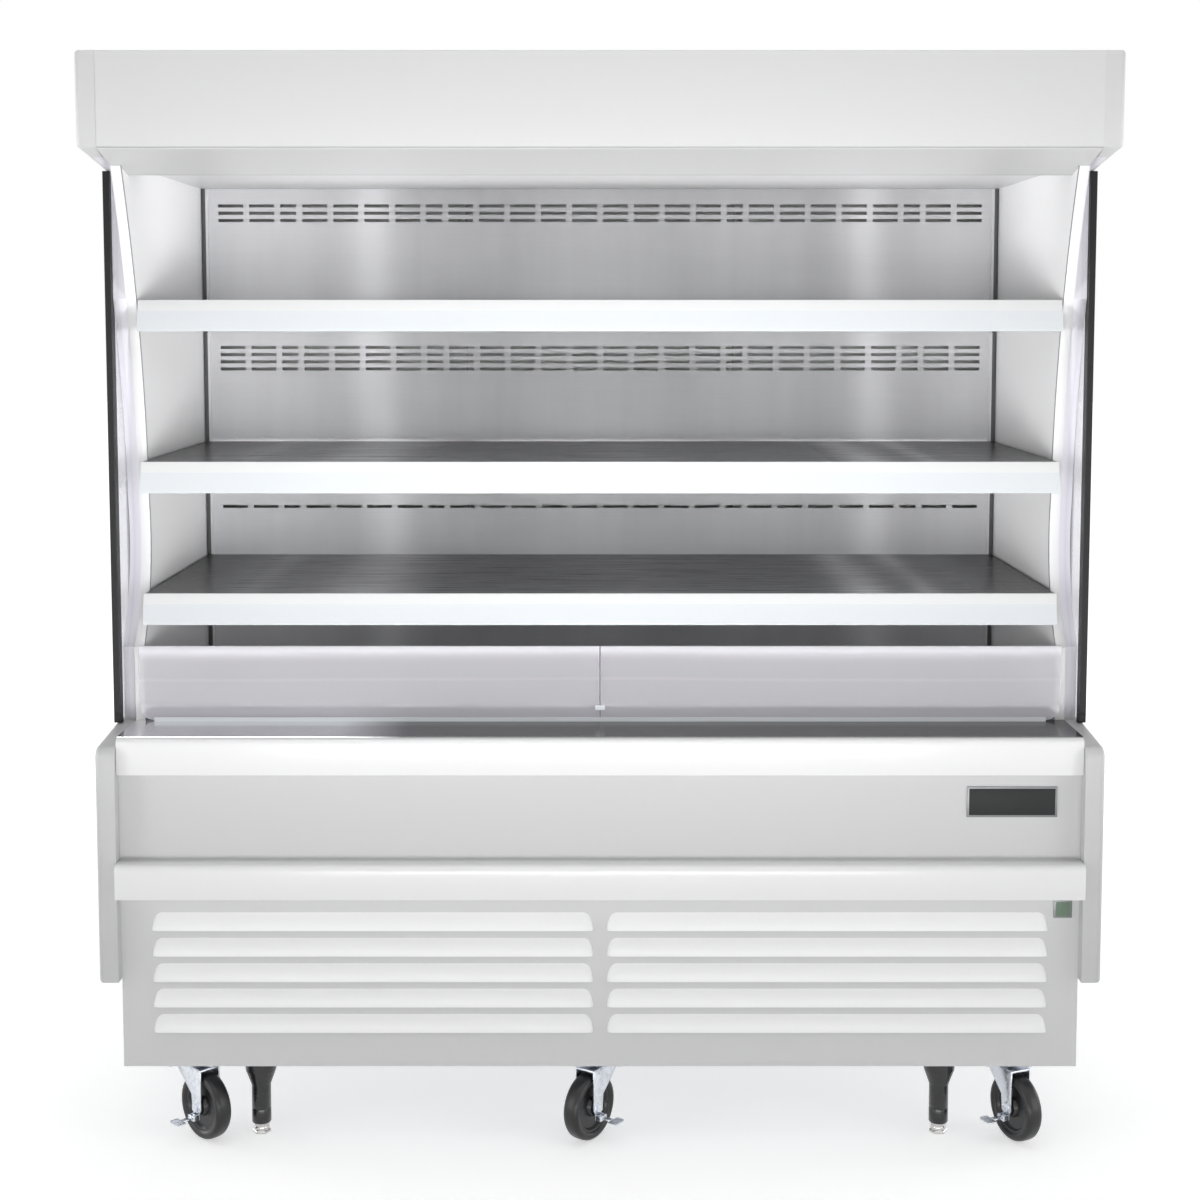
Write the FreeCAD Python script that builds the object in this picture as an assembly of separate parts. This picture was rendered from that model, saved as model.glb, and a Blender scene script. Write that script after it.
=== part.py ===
import FreeCAD, Part
import math
import os

# An open multideck display fridge on casters. Millimetres, +Z up, +X to the
# right of someone who faces it, +Y to its back. The origin is on the floor
# under the middle of the cabinet.

# ---- Overall size --------------------------------------------------------
cabinet_width = 1829.0
cabinet_depth = 889.0
cabinet_height = 1988.0

# ---- Heights that stack up from the floor ----------------------------------
base_level = 148.0
machine_height = 327.0
tub_height = 290.0
duct_height = 88.0
roof_thickness = 98.0
fascia_height = 167.0

# ---- Sheet, foam and glass ---------------------------------------------------
skin = 2.0
sheet = 1.5
end_thickness = 36.0
end_edge_radius = 9.0
end_nose_radius = 20.0
end_nose_drop = 15.0
foam_floor = 60.0
foam_front = 60.0
foam_end = 25.5
ledge_thickness = 60.0
rear_wall_thickness = 45.0
liner_thickness = 18.5
glass_thickness = 8.0
guard_thickness = 6.0
seat_gap = 0.3
running_gap = 0.05

# ---- Front of the cabinet, as distances behind the canopy's front -------------
end_panel_front = 30.0
skin_front = 55.0
lower_bumper_front = 10.0
upper_bumper_front = 40.0
glass_front = 186.0
guard_front = 183.0
sill_depth = 154.0
lip_front = 175.0
rear_duct_depth = 61.0

# ---- Base and machine compartment ----------------------------------------------
frame_rail_height = 38.0
frame_rail_width = 90.0
frame_side_width = 40.0
frame_middle_width = 100.0
frame_setback = 22.0
return_flange = 18.0
end_panel_drop = 160.0

# ---- Louvres of the service panel ----------------------------------------------
louvre_end_margin = 57.5
louvre_height = 32.5
louvre_pitch = 47.9
louvre_rows = 5
louvre_throw = 9.0
louvre_slant = 20.0
louvre_gap_at_middle = 26.0
louvre_first_below_top = 36.0
grille_slot_margin = 89.25
grille_slot_height = 14.0
grille_slot_pitch = 34.0
grille_slot_rows = 6

# ---- Bumpers ----------------------------------------------------------------------
lower_bumper_height = 64.0
upper_bumper_height = 68.0
bumper_radius = 12.0
bumper_end_gap = 0.5

# ---- Canopy --------------------------------------------------------------------------
canopy_slope_drop = 27.0
valance_depth = 148.0
valance_drop = 35.0
valance_flange = 16.0
fascia_return = 60.0
honeycomb_depth = 80.0
honeycomb_height = 20.0
honeycomb_cells = 14
honeycomb_wall = 6.0
honeycomb_fin = 2.0
honeycomb_gap = 3.7

# ---- Concave front edge of the side liners ---------------------------------------------
liner_top_reach = 92.0
liner_mid_reach = 208.0
liner_mid_level = 718.5
liner_waist_reach = 255.0
liner_waist_level = 413.5
liner_low_reach = 246.0
liner_low_level = 240.0
liner_foot_reach = 194.0
liner_foot_level = 138.5
end_core_setback = 10.0
end_core_mid_setback = 30.0
end_core_top_level = 793.5
end_core_mid_level = 603.5
glass_overlap = 35.0
trim_width = 12.5
trim_reach = 12.0
trim_grip = 10.0
gasket_width = 20.0
gasket_thickness = 2.5
glass_edge_gap = 2.0
rebate_depth = 12.5

# ---- Slotted inner back panel and uprights -----------------------------------------------
slot_row_margin = 34.75
short_slot_length = 35.0
slot_height = 7.0
slot_bridge = 12.9
slot_columns = 26
short_slot_columns = (2, 7, 17, 23)
slot_row_pitch = 15.6
slot_rows_at_top = 3
slot_rows_under_first_shelf = 4
slot_rows_under_second_shelf = 1
top_slot_drop = 33.0
under_shelf_slot_drops = (94.0, 140.5)
upright_width = 12.0
upright_depth = 12.0
upright_inset = 2.0
upright_slot_height = 14.0
upright_slot_width = 5.0

# ---- Shelves ----------------------------------------------------------------------------------
shelf_levels = (791.5, 490.5, 242.5)
shelf_side_gap = 5.0
shelf_flange = 25.0
shelf_rear_gap = 2.0
stiffener_width = 40.0
stiffener_height = 18.0
stiffener_place = 285.0
bracket_reach = 330.0
bracket_depth = 62.0
bracket_tip = 12.0
bracket_thickness = 3.0
lug_height = 9.0
lug_length = 4.5
lug_drops = (34.0, 58.0)
lip_side_gap = 3.0
lip_height = 55.0
lip_lean = 12.0
lip_thickness = 3.0
lip_foot = 11.0

# ---- Front guard ----------------------------------------------------------------------------------
guard_side_gap = 46.5
guard_height = 141.0
guard_corner = 28.0
guard_middle_gap = 2.0
channel_height = 8.0
channel_width = 12.0
clip_length = 18.0
clip_height = 9.0
clip_level = 22.0

# ---- Deck --------------------------------------------------------------------------------------------
grille_depth = 105.0
grille_slots = 10
grille_slot_width = 140.0
grille_side_margin = 8.0
grille_first_slot = 18.9
grille_slot_step = 39.9
grille_slot_depth = 26.3
deck_flange = 22.0

# ---- Cooling unit under the deck -----------------------------------------------------------------------
fan_deck_front = 380.0
evaporator_front = 480.0
evaporator_depth = 250.0
evaporator_height = 190.0
evaporator_end_gap = 153.0
evaporator_fan_radius = 100.0
evaporator_fan_place = 400.0
evaporator_fan_level = 115.0
fan_tip_gap = 8.0
fan_hub_radius = 30.0
fan_hub_length = 22.0
fan_blades = 4
fan_blade_width = 40.0
fan_root_depth = 12.0
fan_blade_thickness = 2.5
fan_blade_pitch = 28.0
fan_standoff = 10.0
motor_size = 62.0
motor_length = 55.0
motor_bar_height = 14.0
motor_bar_thickness = 6.0
motor_bar_overlap = 12.0
shaft_radius = 4.0

# ---- Condensing unit in the base --------------------------------------------------------------------------
condenser_left = -620.0
condenser_length = 500.0
condenser_front = 95.0
condenser_depth = 60.0
condenser_height = 262.0
condenser_fan_radius = 105.0
shroud_depth = 62.0
compressor_radius = 92.0
compressor_height = 205.0
compressor_x = 160.0
compressor_reach = 420.0
compressor_foot = 12.0
compressor_foot_overhang = 14.0
control_box_x = 420.0
control_box_reach = 560.0
control_box_size = 190.0

# ---- Casters ---------------------------------------------------------------------------------------------------
caster_side_inset = 154.5
caster_inset = 110.0
caster_plate_width = 100.0
caster_plate_depth = 86.0
caster_plate_thickness = 5.0
race_radius = 21.0
race_height = 6.0
wheel_radius = 62.5
wheel_width = 32.0
wheel_trail = 35.0
axle_radius = 6.0
axle_head_radius = 9.0
axle_head_length = 5.0
fork_thickness = 3.0
fork_side_gap = 3.0
fork_top_clearance = 3.0
fork_nose = 24.0
fork_eye_radius = 14.0
front_caster_turns = (46.0, -36.0, 24.0)
rear_caster_turns = (150.0, 172.0, 205.0)
brake_on_left = (True, False, True)
brake_pin_radius = 2.5
brake_pin_drop = 16.0
brake_swing_gap = 2.5
brake_barrel_radius = 5.0
brake_barrel_length = 11.0
brake_ear_thickness = 3.0
brake_arm_length = 24.0
pedal_length = 18.0
pedal_width = 30.0
pedal_thickness = 3.0

# ---- Levelling legs ----------------------------------------------------------------------------------------------
leg_beside_caster = 124.0
leg_collar_radius = 29.0
leg_collar_height = 26.0
leg_taper_height = 29.0
leg_top_radius = 18.0
leg_foot_show = 20.0
foot_radius = 14.0
foot_pad_radius = 17.0
foot_pad_height = 5.0
foot_engagement = 70.0
foot_top_gap = 10.0

# ---- Places worked out from the sizes ------------------------------------------------------------------------------
front = -cabinet_depth / 2
back = cabinet_depth / 2
outer_side = cabinet_width / 2
body_half = outer_side - end_thickness
machine_top = base_level + machine_height
tub_top = machine_top + tub_height
deck_top = tub_top + sheet
roof_bottom = cabinet_height - roof_thickness
ceiling_level = roof_bottom - duct_height
fascia_bottom = cabinet_height - fascia_height
canopy_inner_level = fascia_bottom - canopy_slope_drop
liner_face = body_half - liner_thickness
skin_back = skin_front + skin
rear_wall_reach = cabinet_depth - rear_wall_thickness
back_panel_front = rear_wall_reach - rear_duct_depth
honeycomb_front = skin + valance_depth + seat_gap
pan_top = base_level + frame_rail_height + skin
ledge_back = upper_bumper_front + sill_depth + skin
guard_bottom = deck_top + skin
caster_front_y = front + caster_inset
caster_back_y = back - caster_inset
rebate_face = outer_side - rebate_depth
glass_inner = rebate_face + gasket_thickness
glass_edge = glass_front + glass_edge_gap
glass_rear = liner_waist_reach + end_core_setback + glass_overlap - seat_gap
shelf_half_width = liner_face - shelf_side_gap
lip_half_width = liner_face - lip_side_gap
guard_half_width = outer_side - guard_side_gap
caster_spread = outer_side - caster_side_inset
leg_spread = caster_spread - leg_beside_caster
leg_foot_travel = leg_foot_show - foot_pad_height - seat_gap
race_top = base_level - caster_plate_thickness - seat_gap
fork_top = race_top - race_height
crown_bottom = 2 * wheel_radius + fork_top_clearance
fork_inner = wheel_width / 2 + fork_side_gap
fork_outer = fork_inner + fork_thickness
axle_reach = fork_outer + axle_head_length
brake_pin_side = fork_outer + brake_barrel_radius + brake_swing_gap
brake_pin_level = wheel_radius - brake_pin_drop
same_place = 0.01


def box(x_low, x_high, reach_low, reach_high, z_low, z_high):
    """A box whose two depths are measured back from the canopy's front."""
    corner = FreeCAD.Vector(x_low, front + reach_low, z_low)
    return Part.makeBox(x_high - x_low, reach_high - reach_low, z_high - z_low, corner)


def cylinder(radius, length, x, y, z, axis=FreeCAD.Vector(0, 0, 1)):
    return Part.makeCylinder(radius, length, FreeCAD.Vector(x, y, z), axis)


def side_point(reach, level):
    return FreeCAD.Vector(0, front + reach, level)


def side_prism(outline, x_low, x_high):
    """Sweep a closed outline of (reach, level) points along the width."""
    points = [side_point(reach, level) for reach, level in outline]
    face = Part.Face(Part.makePolygon(points + points[:1]))
    return slide_along(face, x_low, x_high)


def slide_along(face, x_low, x_high):
    face.translate(FreeCAD.Vector(x_low, 0, 0))
    return face.extrude(FreeCAD.Vector(x_high - x_low, 0, 0))


def fuse(first, *rest):
    return first.fuse(list(rest)).removeSplitter()


def group(solids):
    return Part.makeCompound(solids)


def mirrored(shape):
    return shape.mirror(FreeCAD.Vector(0, 0, 0), FreeCAD.Vector(1, 0, 0))


def save(name, shape):
    shape.exportStep("parts/" + name + ".step")


# ---- Base ------------------------------------------------------------------------------------------------------------
def base_frame():
    low = base_level
    high = base_level + frame_rail_height
    half = body_half - skin - seat_gap
    first = skin_front + frame_setback
    last = cabinet_depth - frame_setback
    front_rail = box(-half, half, first, first + frame_rail_width, low, high)
    rear_rail = box(-half, half, last - frame_rail_width, last, low, high)
    left_rail = box(-half, -half + frame_side_width, first, last, low, high)
    right_rail = box(half - frame_side_width, half, first, last, low, high)
    middle = frame_middle_width / 2
    middle_rail = box(-middle, middle, first, last, low, high)
    return fuse(front_rail, rear_rail, left_rail, right_rail, middle_rail)


def base_pan():
    half = body_half - skin - seat_gap
    low = base_level + frame_rail_height
    return box(-half, half, skin_front + frame_setback, cabinet_depth - frame_setback, low, low + skin)


def machine_side():
    return box(body_half - skin, body_half, skin_back, cabinet_depth - skin, base_level, machine_top)


def louvre_wedge(length, height, throw, slant, top, centre_x, inset):
    """The outer or inner skin of one pressed hood: a slanted face with slanted ends."""
    half_low = length / 2 - inset
    half_high = half_low - slant
    low = top - height
    face_reach = skin_front + inset
    tip_reach = skin_front - throw + inset
    wall_reach = skin_back if inset else face_reach

    def corner(half, reach, level):
        return FreeCAD.Vector(centre_x + half, front + reach, level)

    high_left = corner(-half_high, wall_reach, top - inset)
    high_right = corner(half_high, wall_reach, top - inset)
    low_left = corner(-half_low, wall_reach, low)
    low_right = corner(half_low, wall_reach, low)
    tip_left = corner(-half_low, tip_reach, low)
    tip_right = corner(half_low, tip_reach, low)
    rings = (
        (high_left, high_right, low_right, low_left),
        (high_left, high_right, tip_right, tip_left),
        (low_left, low_right, tip_right, tip_left),
        (high_left, low_left, tip_left),
        (high_right, low_right, tip_right),
    )
    faces = [Part.Face(Part.makePolygon(list(ring) + [ring[0]])) for ring in rings]
    return Part.makeSolid(Part.makeShell(faces))


def louvre_panel():
    panel = box(-body_half, body_half, skin_front, skin_back, base_level, machine_top)
    half = body_half - skin - seat_gap
    returns = [
        box(-half, half, skin_front, skin_back + return_flange, level, level + skin)
        for level in (base_level, machine_top - skin)
    ]
    panel = fuse(panel, *returns)
    outer_wedges = []
    inner_wedges = []
    length = body_half - louvre_end_margin - louvre_gap_at_middle / 2
    centre = (length + louvre_gap_at_middle) / 2
    for side in (-1, 1):
        for row in range(louvre_rows):
            top = machine_top - louvre_first_below_top - row * louvre_pitch
            size = (length, louvre_height, louvre_throw, louvre_slant, top, side * centre)
            outer_wedges.append(louvre_wedge(*size, 0.0))
            inner_wedges.append(louvre_wedge(*size, sheet))
    return panel.fuse(outer_wedges).cut(inner_wedges).removeSplitter()


def rear_grille():
    panel = box(-body_half, body_half, cabinet_depth - skin, cabinet_depth, base_level, machine_top)
    height_used = (grille_slot_rows - 1) * grille_slot_pitch + grille_slot_height
    first = base_level + (machine_height - height_used) / 2
    slots = []
    half_slot = body_half / 2 - grille_slot_margin
    for side in (-1, 1):
        centre = side * body_half / 2
        for row in range(grille_slot_rows):
            low = first + row * grille_slot_pitch
            ends = (centre - half_slot, centre + half_slot)
            slots.append(box(*ends, cabinet_depth - skin, cabinet_depth, low, low + grille_slot_height))
    return panel.cut(slots)


# ---- Insulated body ------------------------------------------------------------------------------------------------------
def insulated_tub():
    """Foam floor, front wall that leans back under the sill, and the two end slabs."""
    floor_top = machine_top + foam_floor
    inner_half = body_half - foam_end
    floor = box(-body_half, body_half, skin_back, rear_wall_reach, machine_top, floor_top)
    outline = [
        (skin_back, floor_top),
        (skin_back + foam_front, floor_top),
        (ledge_back, tub_top - ledge_thickness),
        (ledge_back, tub_top),
        (skin_back, tub_top),
    ]
    front_wall = side_prism(outline, -inner_half, inner_half)
    end_slab = box(inner_half, body_half, skin_back, rear_wall_reach, floor_top, tub_top)
    return group([floor, front_wall, end_slab, mirrored(end_slab)])


def rear_wall():
    return box(-body_half, body_half, rear_wall_reach, cabinet_depth, machine_top, roof_bottom)


def roof_panel():
    return box(-body_half, body_half, fascia_return, cabinet_depth, roof_bottom, cabinet_height)


def arc_edge(start, middle, end):
    return Part.Arc(side_point(*start), side_point(*middle), side_point(*end)).toShape()


def line_edge(start, end):
    return Part.LineSegment(side_point(*start), side_point(*end)).toShape()


def edges_between(shape, first, second):
    """Edges along the width that pass through a (reach, level) point, or run between two of them."""
    ends = [side_point(*first), side_point(*second)]
    found = []
    for edge in shape.Edges:
        flat_ends = [FreeCAD.Vector(0, vertex.Y, vertex.Z) for vertex in edge.Vertexes]
        starts_here = min(flat_ends[0].distanceToPoint(end) for end in ends) < same_place
        stops_here = min(flat_ends[-1].distanceToPoint(end) for end in ends) < same_place
        if starts_here and stops_here:
            found.append(edge)
    return found


def on_outer_face(edge):
    return edge.BoundBox.XMin > outer_side - same_place


def canopy_end():
    """Upper block of the right-hand end, with the rim that shows rounded."""
    outline = [
        (0, cabinet_height),
        (0, fascia_bottom),
        (glass_front, canopy_inner_level),
        (cabinet_depth, canopy_inner_level),
        (cabinet_depth, cabinet_height),
    ]
    block = side_prism(outline, body_half, outer_side)
    rim = edges_between(block, outline[0], outline[1]) + edges_between(block, outline[1], outline[2])
    rim += edges_between(block, outline[0], outline[4])
    return block.makeFillet(end_edge_radius, [edge for edge in rim if on_outer_face(edge)])


def lower_end():
    """Lower block of the right-hand end: a rounded nose, then the rim that shows rounded."""
    low = machine_top - end_panel_drop
    nose_top = tub_top - end_nose_drop
    outline = [
        (end_panel_front, low),
        (end_panel_front, nose_top),
        (glass_front, tub_top),
        (cabinet_depth, tub_top),
        (cabinet_depth, low),
    ]
    block = side_prism(outline, body_half, outer_side)
    nose = edges_between(block, outline[1], outline[1])
    block = block.makeFillet(end_nose_radius, nose)
    rim_back = front + glass_front - skin
    rim = [edge for edge in block.Edges if on_outer_face(edge) and edge.BoundBox.YMin < rim_back]
    return block.makeFillet(end_edge_radius, rim)


def end_core():
    """Insulated wall between the two blocks, its front edge set back behind the liner's curve."""
    setback = end_core_setback
    waist = (liner_waist_reach + setback, deck_top + liner_waist_level)
    foot = (liner_foot_reach + setback, deck_top + liner_foot_level)
    foot_low = (liner_foot_reach + setback, tub_top)
    core_top = (glass_front, deck_top + end_core_top_level)
    core_mid = (liner_mid_reach + end_core_mid_setback, deck_top + end_core_mid_level)
    low_mid = (liner_low_reach + setback, deck_top + liner_low_level)
    edges = [
        line_edge((glass_front, canopy_inner_level), core_top),
        arc_edge(core_top, core_mid, waist),
        arc_edge(waist, low_mid, foot),
        line_edge(foot, foot_low),
        line_edge(foot_low, (cabinet_depth, tub_top)),
        line_edge((cabinet_depth, tub_top), (cabinet_depth, canopy_inner_level)),
        line_edge((cabinet_depth, canopy_inner_level), (glass_front, canopy_inner_level)),
    ]
    wall = slide_along(Part.Face(Part.Wire(edges)), body_half, outer_side)
    rebate_end = glass_rear + seat_gap
    rebate = box(rebate_face, outer_side + skin, glass_front, rebate_end, tub_top, canopy_inner_level)
    return wall.cut(rebate)


def end_panel():
    """Right-hand end: canopy end, curved upright wall and the deep lower end, foamed as one."""
    return fuse(end_core(), canopy_end(), lower_end())


def side_glass():
    low = tub_top + seat_gap
    high = canopy_inner_level - seat_gap
    return box(glass_inner, glass_inner + glass_thickness, glass_edge, glass_rear, low, high)


def glass_trim():
    """Black edge channel on the front of the glass, and the gasket behind its rear edge."""
    low = tub_top + seat_gap
    high = canopy_inner_level - seat_gap
    inner = outer_side - trim_width + seat_gap
    front_reach = glass_front - trim_reach
    back_reach = glass_edge + trim_grip
    channel = box(inner, outer_side, front_reach, back_reach, low, high)
    slot_front = glass_edge - seat_gap
    slot = box(glass_inner - seat_gap, glass_inner + glass_thickness + seat_gap, slot_front, back_reach, low, high)
    gasket = box(rebate_face, glass_inner, glass_rear - gasket_width, glass_rear, low, high)
    return [channel.cut(slot), gasket]


def valance_level(reach):
    """Level of the valance's underside at a distance behind the canopy's front."""
    slope = valance_drop / (skin + valance_depth)
    return fascia_bottom - seat_gap - skin - slope * reach


def side_liner():
    valance_back = honeycomb_front
    top = (liner_top_reach, valance_level(liner_top_reach) - seat_gap)
    under_valance = (valance_back, valance_level(valance_back) - seat_gap)
    behind_valance = (valance_back, ceiling_level)
    middle = (liner_mid_reach, deck_top + liner_mid_level)
    waist = (liner_waist_reach, deck_top + liner_waist_level)
    lower = (liner_low_reach, deck_top + liner_low_level)
    foot = (liner_foot_reach, deck_top + liner_foot_level)
    toe = (liner_foot_reach, deck_top)
    heel = (rear_wall_reach, deck_top)
    crown = (rear_wall_reach, ceiling_level)
    edges = [
        arc_edge(top, middle, waist),
        arc_edge(waist, lower, foot),
        line_edge(foot, toe),
        line_edge(toe, heel),
        line_edge(heel, crown),
        line_edge(crown, behind_valance),
        line_edge(behind_valance, under_valance),
        line_edge(under_valance, top),
    ]
    return slide_along(Part.Face(Part.Wire(edges)), liner_face, body_half)


# ---- Front skin -------------------------------------------------------------------------------------------------------------
def front_panel():
    return box(-body_half, body_half, skin_front, skin_back, machine_top, tub_top)


def bumper(front_reach, low, high):
    """Rounded rail of folded sheet on the face of the front panel."""
    radius = bumper_radius
    bend = radius * (1 - math.sqrt(0.5))
    edges = [
        line_edge((skin_front, low), (skin_front, high)),
        line_edge((skin_front, high), (front_reach + radius, high)),
        arc_edge((front_reach + radius, high), (front_reach + bend, high - bend), (front_reach, high - radius)),
        line_edge((front_reach, high - radius), (front_reach, low)),
        line_edge((front_reach, low), (skin_front, low)),
    ]
    half = body_half - bumper_end_gap
    return slide_along(Part.Face(Part.Wire(edges)), -half, half)


def sill_cap():
    first = upper_bumper_front + bumper_radius
    return box(-body_half, body_half, first, ledge_back, tub_top, deck_top)


def guard_pane():
    """Right half of the clear guard, with its lower outer corner rounded."""
    low = guard_bottom
    high = low + guard_height
    first = guard_front
    pane = box(guard_middle_gap / 2, guard_half_width, first, first + guard_thickness, low, high)
    corners = [edge for edge in pane.Edges if is_guard_corner(edge, low)]
    return pane.makeFillet(guard_corner, corners)


def is_guard_corner(edge, low):
    outline = edge.BoundBox
    runs_through = outline.YLength > guard_thickness / 2
    at_outer_end = outline.XMin > guard_half_width - same_place
    return runs_through and at_outer_end and outline.ZMax < low + same_place


def guard_fittings():
    centre = guard_front + guard_thickness / 2
    first = centre - channel_width / 2
    last = centre + channel_width / 2
    half = guard_half_width - guard_corner
    channel = box(-half, half, first, last, deck_top, deck_top + channel_height)
    slot_front = guard_front - seat_gap
    slot_back = guard_front + guard_thickness + seat_gap
    slot = box(-half, half, slot_front, slot_back, guard_bottom - seat_gap, deck_top + channel_height)
    clip_low = deck_top + clip_level
    clip = box(-clip_length / 2, clip_length / 2, first, last, clip_low, clip_low + clip_height)
    clip_ends = (-clip_length / 2, clip_length / 2)
    clip_slot = box(*clip_ends, slot_front, slot_back, clip_low, clip_low + clip_height)
    bridge_ends = (-guard_middle_gap / 2 + seat_gap, guard_middle_gap / 2 - seat_gap)
    bridge = box(*bridge_ends, first, last, clip_low, clip_low + clip_height)
    return [channel.cut(slot), fuse(clip.cut(clip_slot), bridge)]


# ---- Canopy --------------------------------------------------------------------------------------------------------------------
def canopy_fascia():
    face = box(-body_half, body_half, 0, skin, fascia_bottom, cabinet_height)
    top = box(-body_half, body_half, 0, fascia_return, cabinet_height - skin, cabinet_height)
    foot = box(-body_half, body_half, 0, return_flange, fascia_bottom, fascia_bottom + skin)
    return fuse(face, top, foot)


def canopy_valance():
    """Sloping sheet under the canopy with a flange that stands up at its back."""
    tip = skin + valance_depth
    low = valance_level(tip)
    outline = [
        (0, valance_level(0) + skin),
        (0, valance_level(0)),
        (tip, low),
        (tip, low + skin + valance_flange),
        (tip - skin, low + skin + valance_flange),
        (tip - skin, low + skin),
        (return_flange, valance_level(return_flange) + skin),
        (return_flange, fascia_bottom - seat_gap),
    ]
    return side_prism(outline, -body_half + sheet, body_half - sheet)


def ceiling_panel():
    half = body_half - skin
    first = honeycomb_front + honeycomb_depth + honeycomb_gap
    return box(-half, half, first, back_panel_front + 2 * sheet, ceiling_level, ceiling_level + sheet)


def air_honeycomb():
    half = body_half - skin
    first = honeycomb_front
    last = first + honeycomb_depth
    low = ceiling_level
    high = ceiling_level + honeycomb_height
    strip = box(-half, half, first, last, low, high)
    pitch = 2 * (half - honeycomb_wall) / honeycomb_cells
    cells = []
    for cell in range(honeycomb_cells):
        left = -half + honeycomb_wall + cell * pitch
        right = left + pitch - honeycomb_fin
        cells.append(box(left, right, first + honeycomb_wall, last - honeycomb_wall, low, high))
    return strip.cut(cells)


# ---- Inside ------------------------------------------------------------------------------------------------------------------------
def slot_starts():
    """Left end and length of each slot of a row: a few columns are short ones."""
    row_half = liner_face - slot_row_margin
    short_total = short_slot_length * len(short_slot_columns)
    long_total = 2 * row_half - short_total - slot_bridge * (slot_columns - 1)
    slot_length = long_total / (slot_columns - len(short_slot_columns))
    lengths = [short_slot_length if column in short_slot_columns else slot_length for column in range(slot_columns)]
    left = -row_half
    starts = []
    for length in lengths:
        starts.append((left, length))
        left += length + slot_bridge
    return starts


def slot_row_levels():
    """Levels of the slot rows: one band under the ceiling, one under each of two shelves."""
    band_tops = [ceiling_level - top_slot_drop]
    band_tops += [deck_top + level - drop for level, drop in zip(shelf_levels, under_shelf_slot_drops)]
    row_counts = (slot_rows_at_top, slot_rows_under_first_shelf, slot_rows_under_second_shelf)
    levels = []
    for top, rows in zip(band_tops, row_counts):
        levels += [top - row * slot_row_pitch for row in range(rows)]
    return levels


def inner_back_panel():
    half = liner_face - seat_gap
    low = deck_top + seat_gap
    high = ceiling_level - seat_gap
    face_back = back_panel_front + sheet
    panel = box(-half, half, back_panel_front, face_back, low, high)
    slots = []
    for level in slot_row_levels():
        for left, length in slot_starts():
            slots.append(box(left, left + length, back_panel_front, face_back, level - slot_height, level))
    panel = panel.cut(slots)
    returns = [
        box(low_x, low_x + sheet, back_panel_front, rear_wall_reach, low, high)
        for low_x in (-half, half - sheet)
    ]
    return panel.fuse(returns)


def upright():
    """Right-hand slotted upright that the shelf brackets hook into."""
    right = liner_face - upright_inset
    left = right - upright_width
    first = back_panel_front - upright_depth
    low = deck_top + seat_gap
    high = ceiling_level - seat_gap
    bar = box(left, right, first, back_panel_front, low, high)
    hollow = box(left + sheet, right - sheet, first + sheet, back_panel_front, low, high)
    middle = (left + right) / 2
    slots = []
    for shelf_level in shelf_levels:
        for drop in lug_drops:
            slot_middle = deck_top + shelf_level - drop
            ends = (middle - upright_slot_width / 2, middle + upright_slot_width / 2)
            levels = (slot_middle - upright_slot_height / 2, slot_middle + upright_slot_height / 2)
            slots.append(box(*ends, first, first + sheet, *levels))
    return bar.cut([hollow] + slots)


def shelf_bracket(top):
    """Right-hand end bracket: a tapered plate with two lugs in the upright's slots."""
    middle = liner_face - upright_inset - upright_width / 2
    left = middle - bracket_thickness / 2
    right = middle + bracket_thickness / 2
    rear = back_panel_front - upright_depth - seat_gap
    under = top - sheet
    outline = [
        (rear, under - bracket_depth),
        (rear, under),
        (rear - bracket_reach, under),
        (rear - bracket_reach, under - bracket_tip),
    ]
    plate = side_prism(outline, left, right)
    lugs = []
    for drop in lug_drops:
        lug_middle = top - drop
        levels = (lug_middle - lug_height / 2, lug_middle + lug_height / 2)
        lugs.append(box(left, right, rear - sheet, rear + seat_gap + lug_length, *levels))
    return fuse(plate, *lugs)


def shelf(top):
    first = lip_front + lip_lean + lip_thickness
    last = back_panel_front - upright_depth - shelf_rear_gap
    half = shelf_half_width
    tray = box(-half, half, first, last, top - shelf_flange, top)
    hollow = box(-half + sheet, half - sheet, first + sheet, last, top - shelf_flange, top - sheet)
    under = top - sheet
    tray = tray.cut(hollow)
    bars = []
    for centre in (-stiffener_place, stiffener_place):
        left = centre - stiffener_width / 2
        right = centre + stiffener_width / 2
        bar = box(left, right, first + sheet, last, under - stiffener_height, under)
        inside = box(left + sheet, right - sheet, first, last, under - stiffener_height + sheet, under)
        bars.append(bar.cut(inside))
    tray = fuse(tray, *bars)
    right_bracket = shelf_bracket(top)
    return group([tray, right_bracket, mirrored(right_bracket)])


def price_rail(top):
    """White ticket rail that leans out at its foot."""
    back_reach = lip_front + lip_lean + lip_thickness
    foot = top - lip_height
    outline = [
        (back_reach, top),
        (back_reach - lip_thickness, top),
        (lip_front, foot),
        (lip_front, foot - lip_thickness),
        (lip_front + lip_foot, foot - lip_thickness),
        (lip_front + lip_foot, foot),
        (lip_front + lip_thickness, foot),
        (back_reach - lip_thickness, top - shelf_flange),
        (back_reach, top - shelf_flange),
    ]
    return side_prism(outline, -lip_half_width, lip_half_width)


def deck_pan():
    half = body_half - skin
    first = ledge_back + grille_depth + 2 * seat_gap
    pan = box(-half, half, first, back_panel_front, tub_top, deck_top)
    flange_half = body_half - foam_end - seat_gap
    flange = box(-flange_half, flange_half, first, first + sheet, tub_top - deck_flange, deck_top)
    return fuse(pan, flange)


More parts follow.
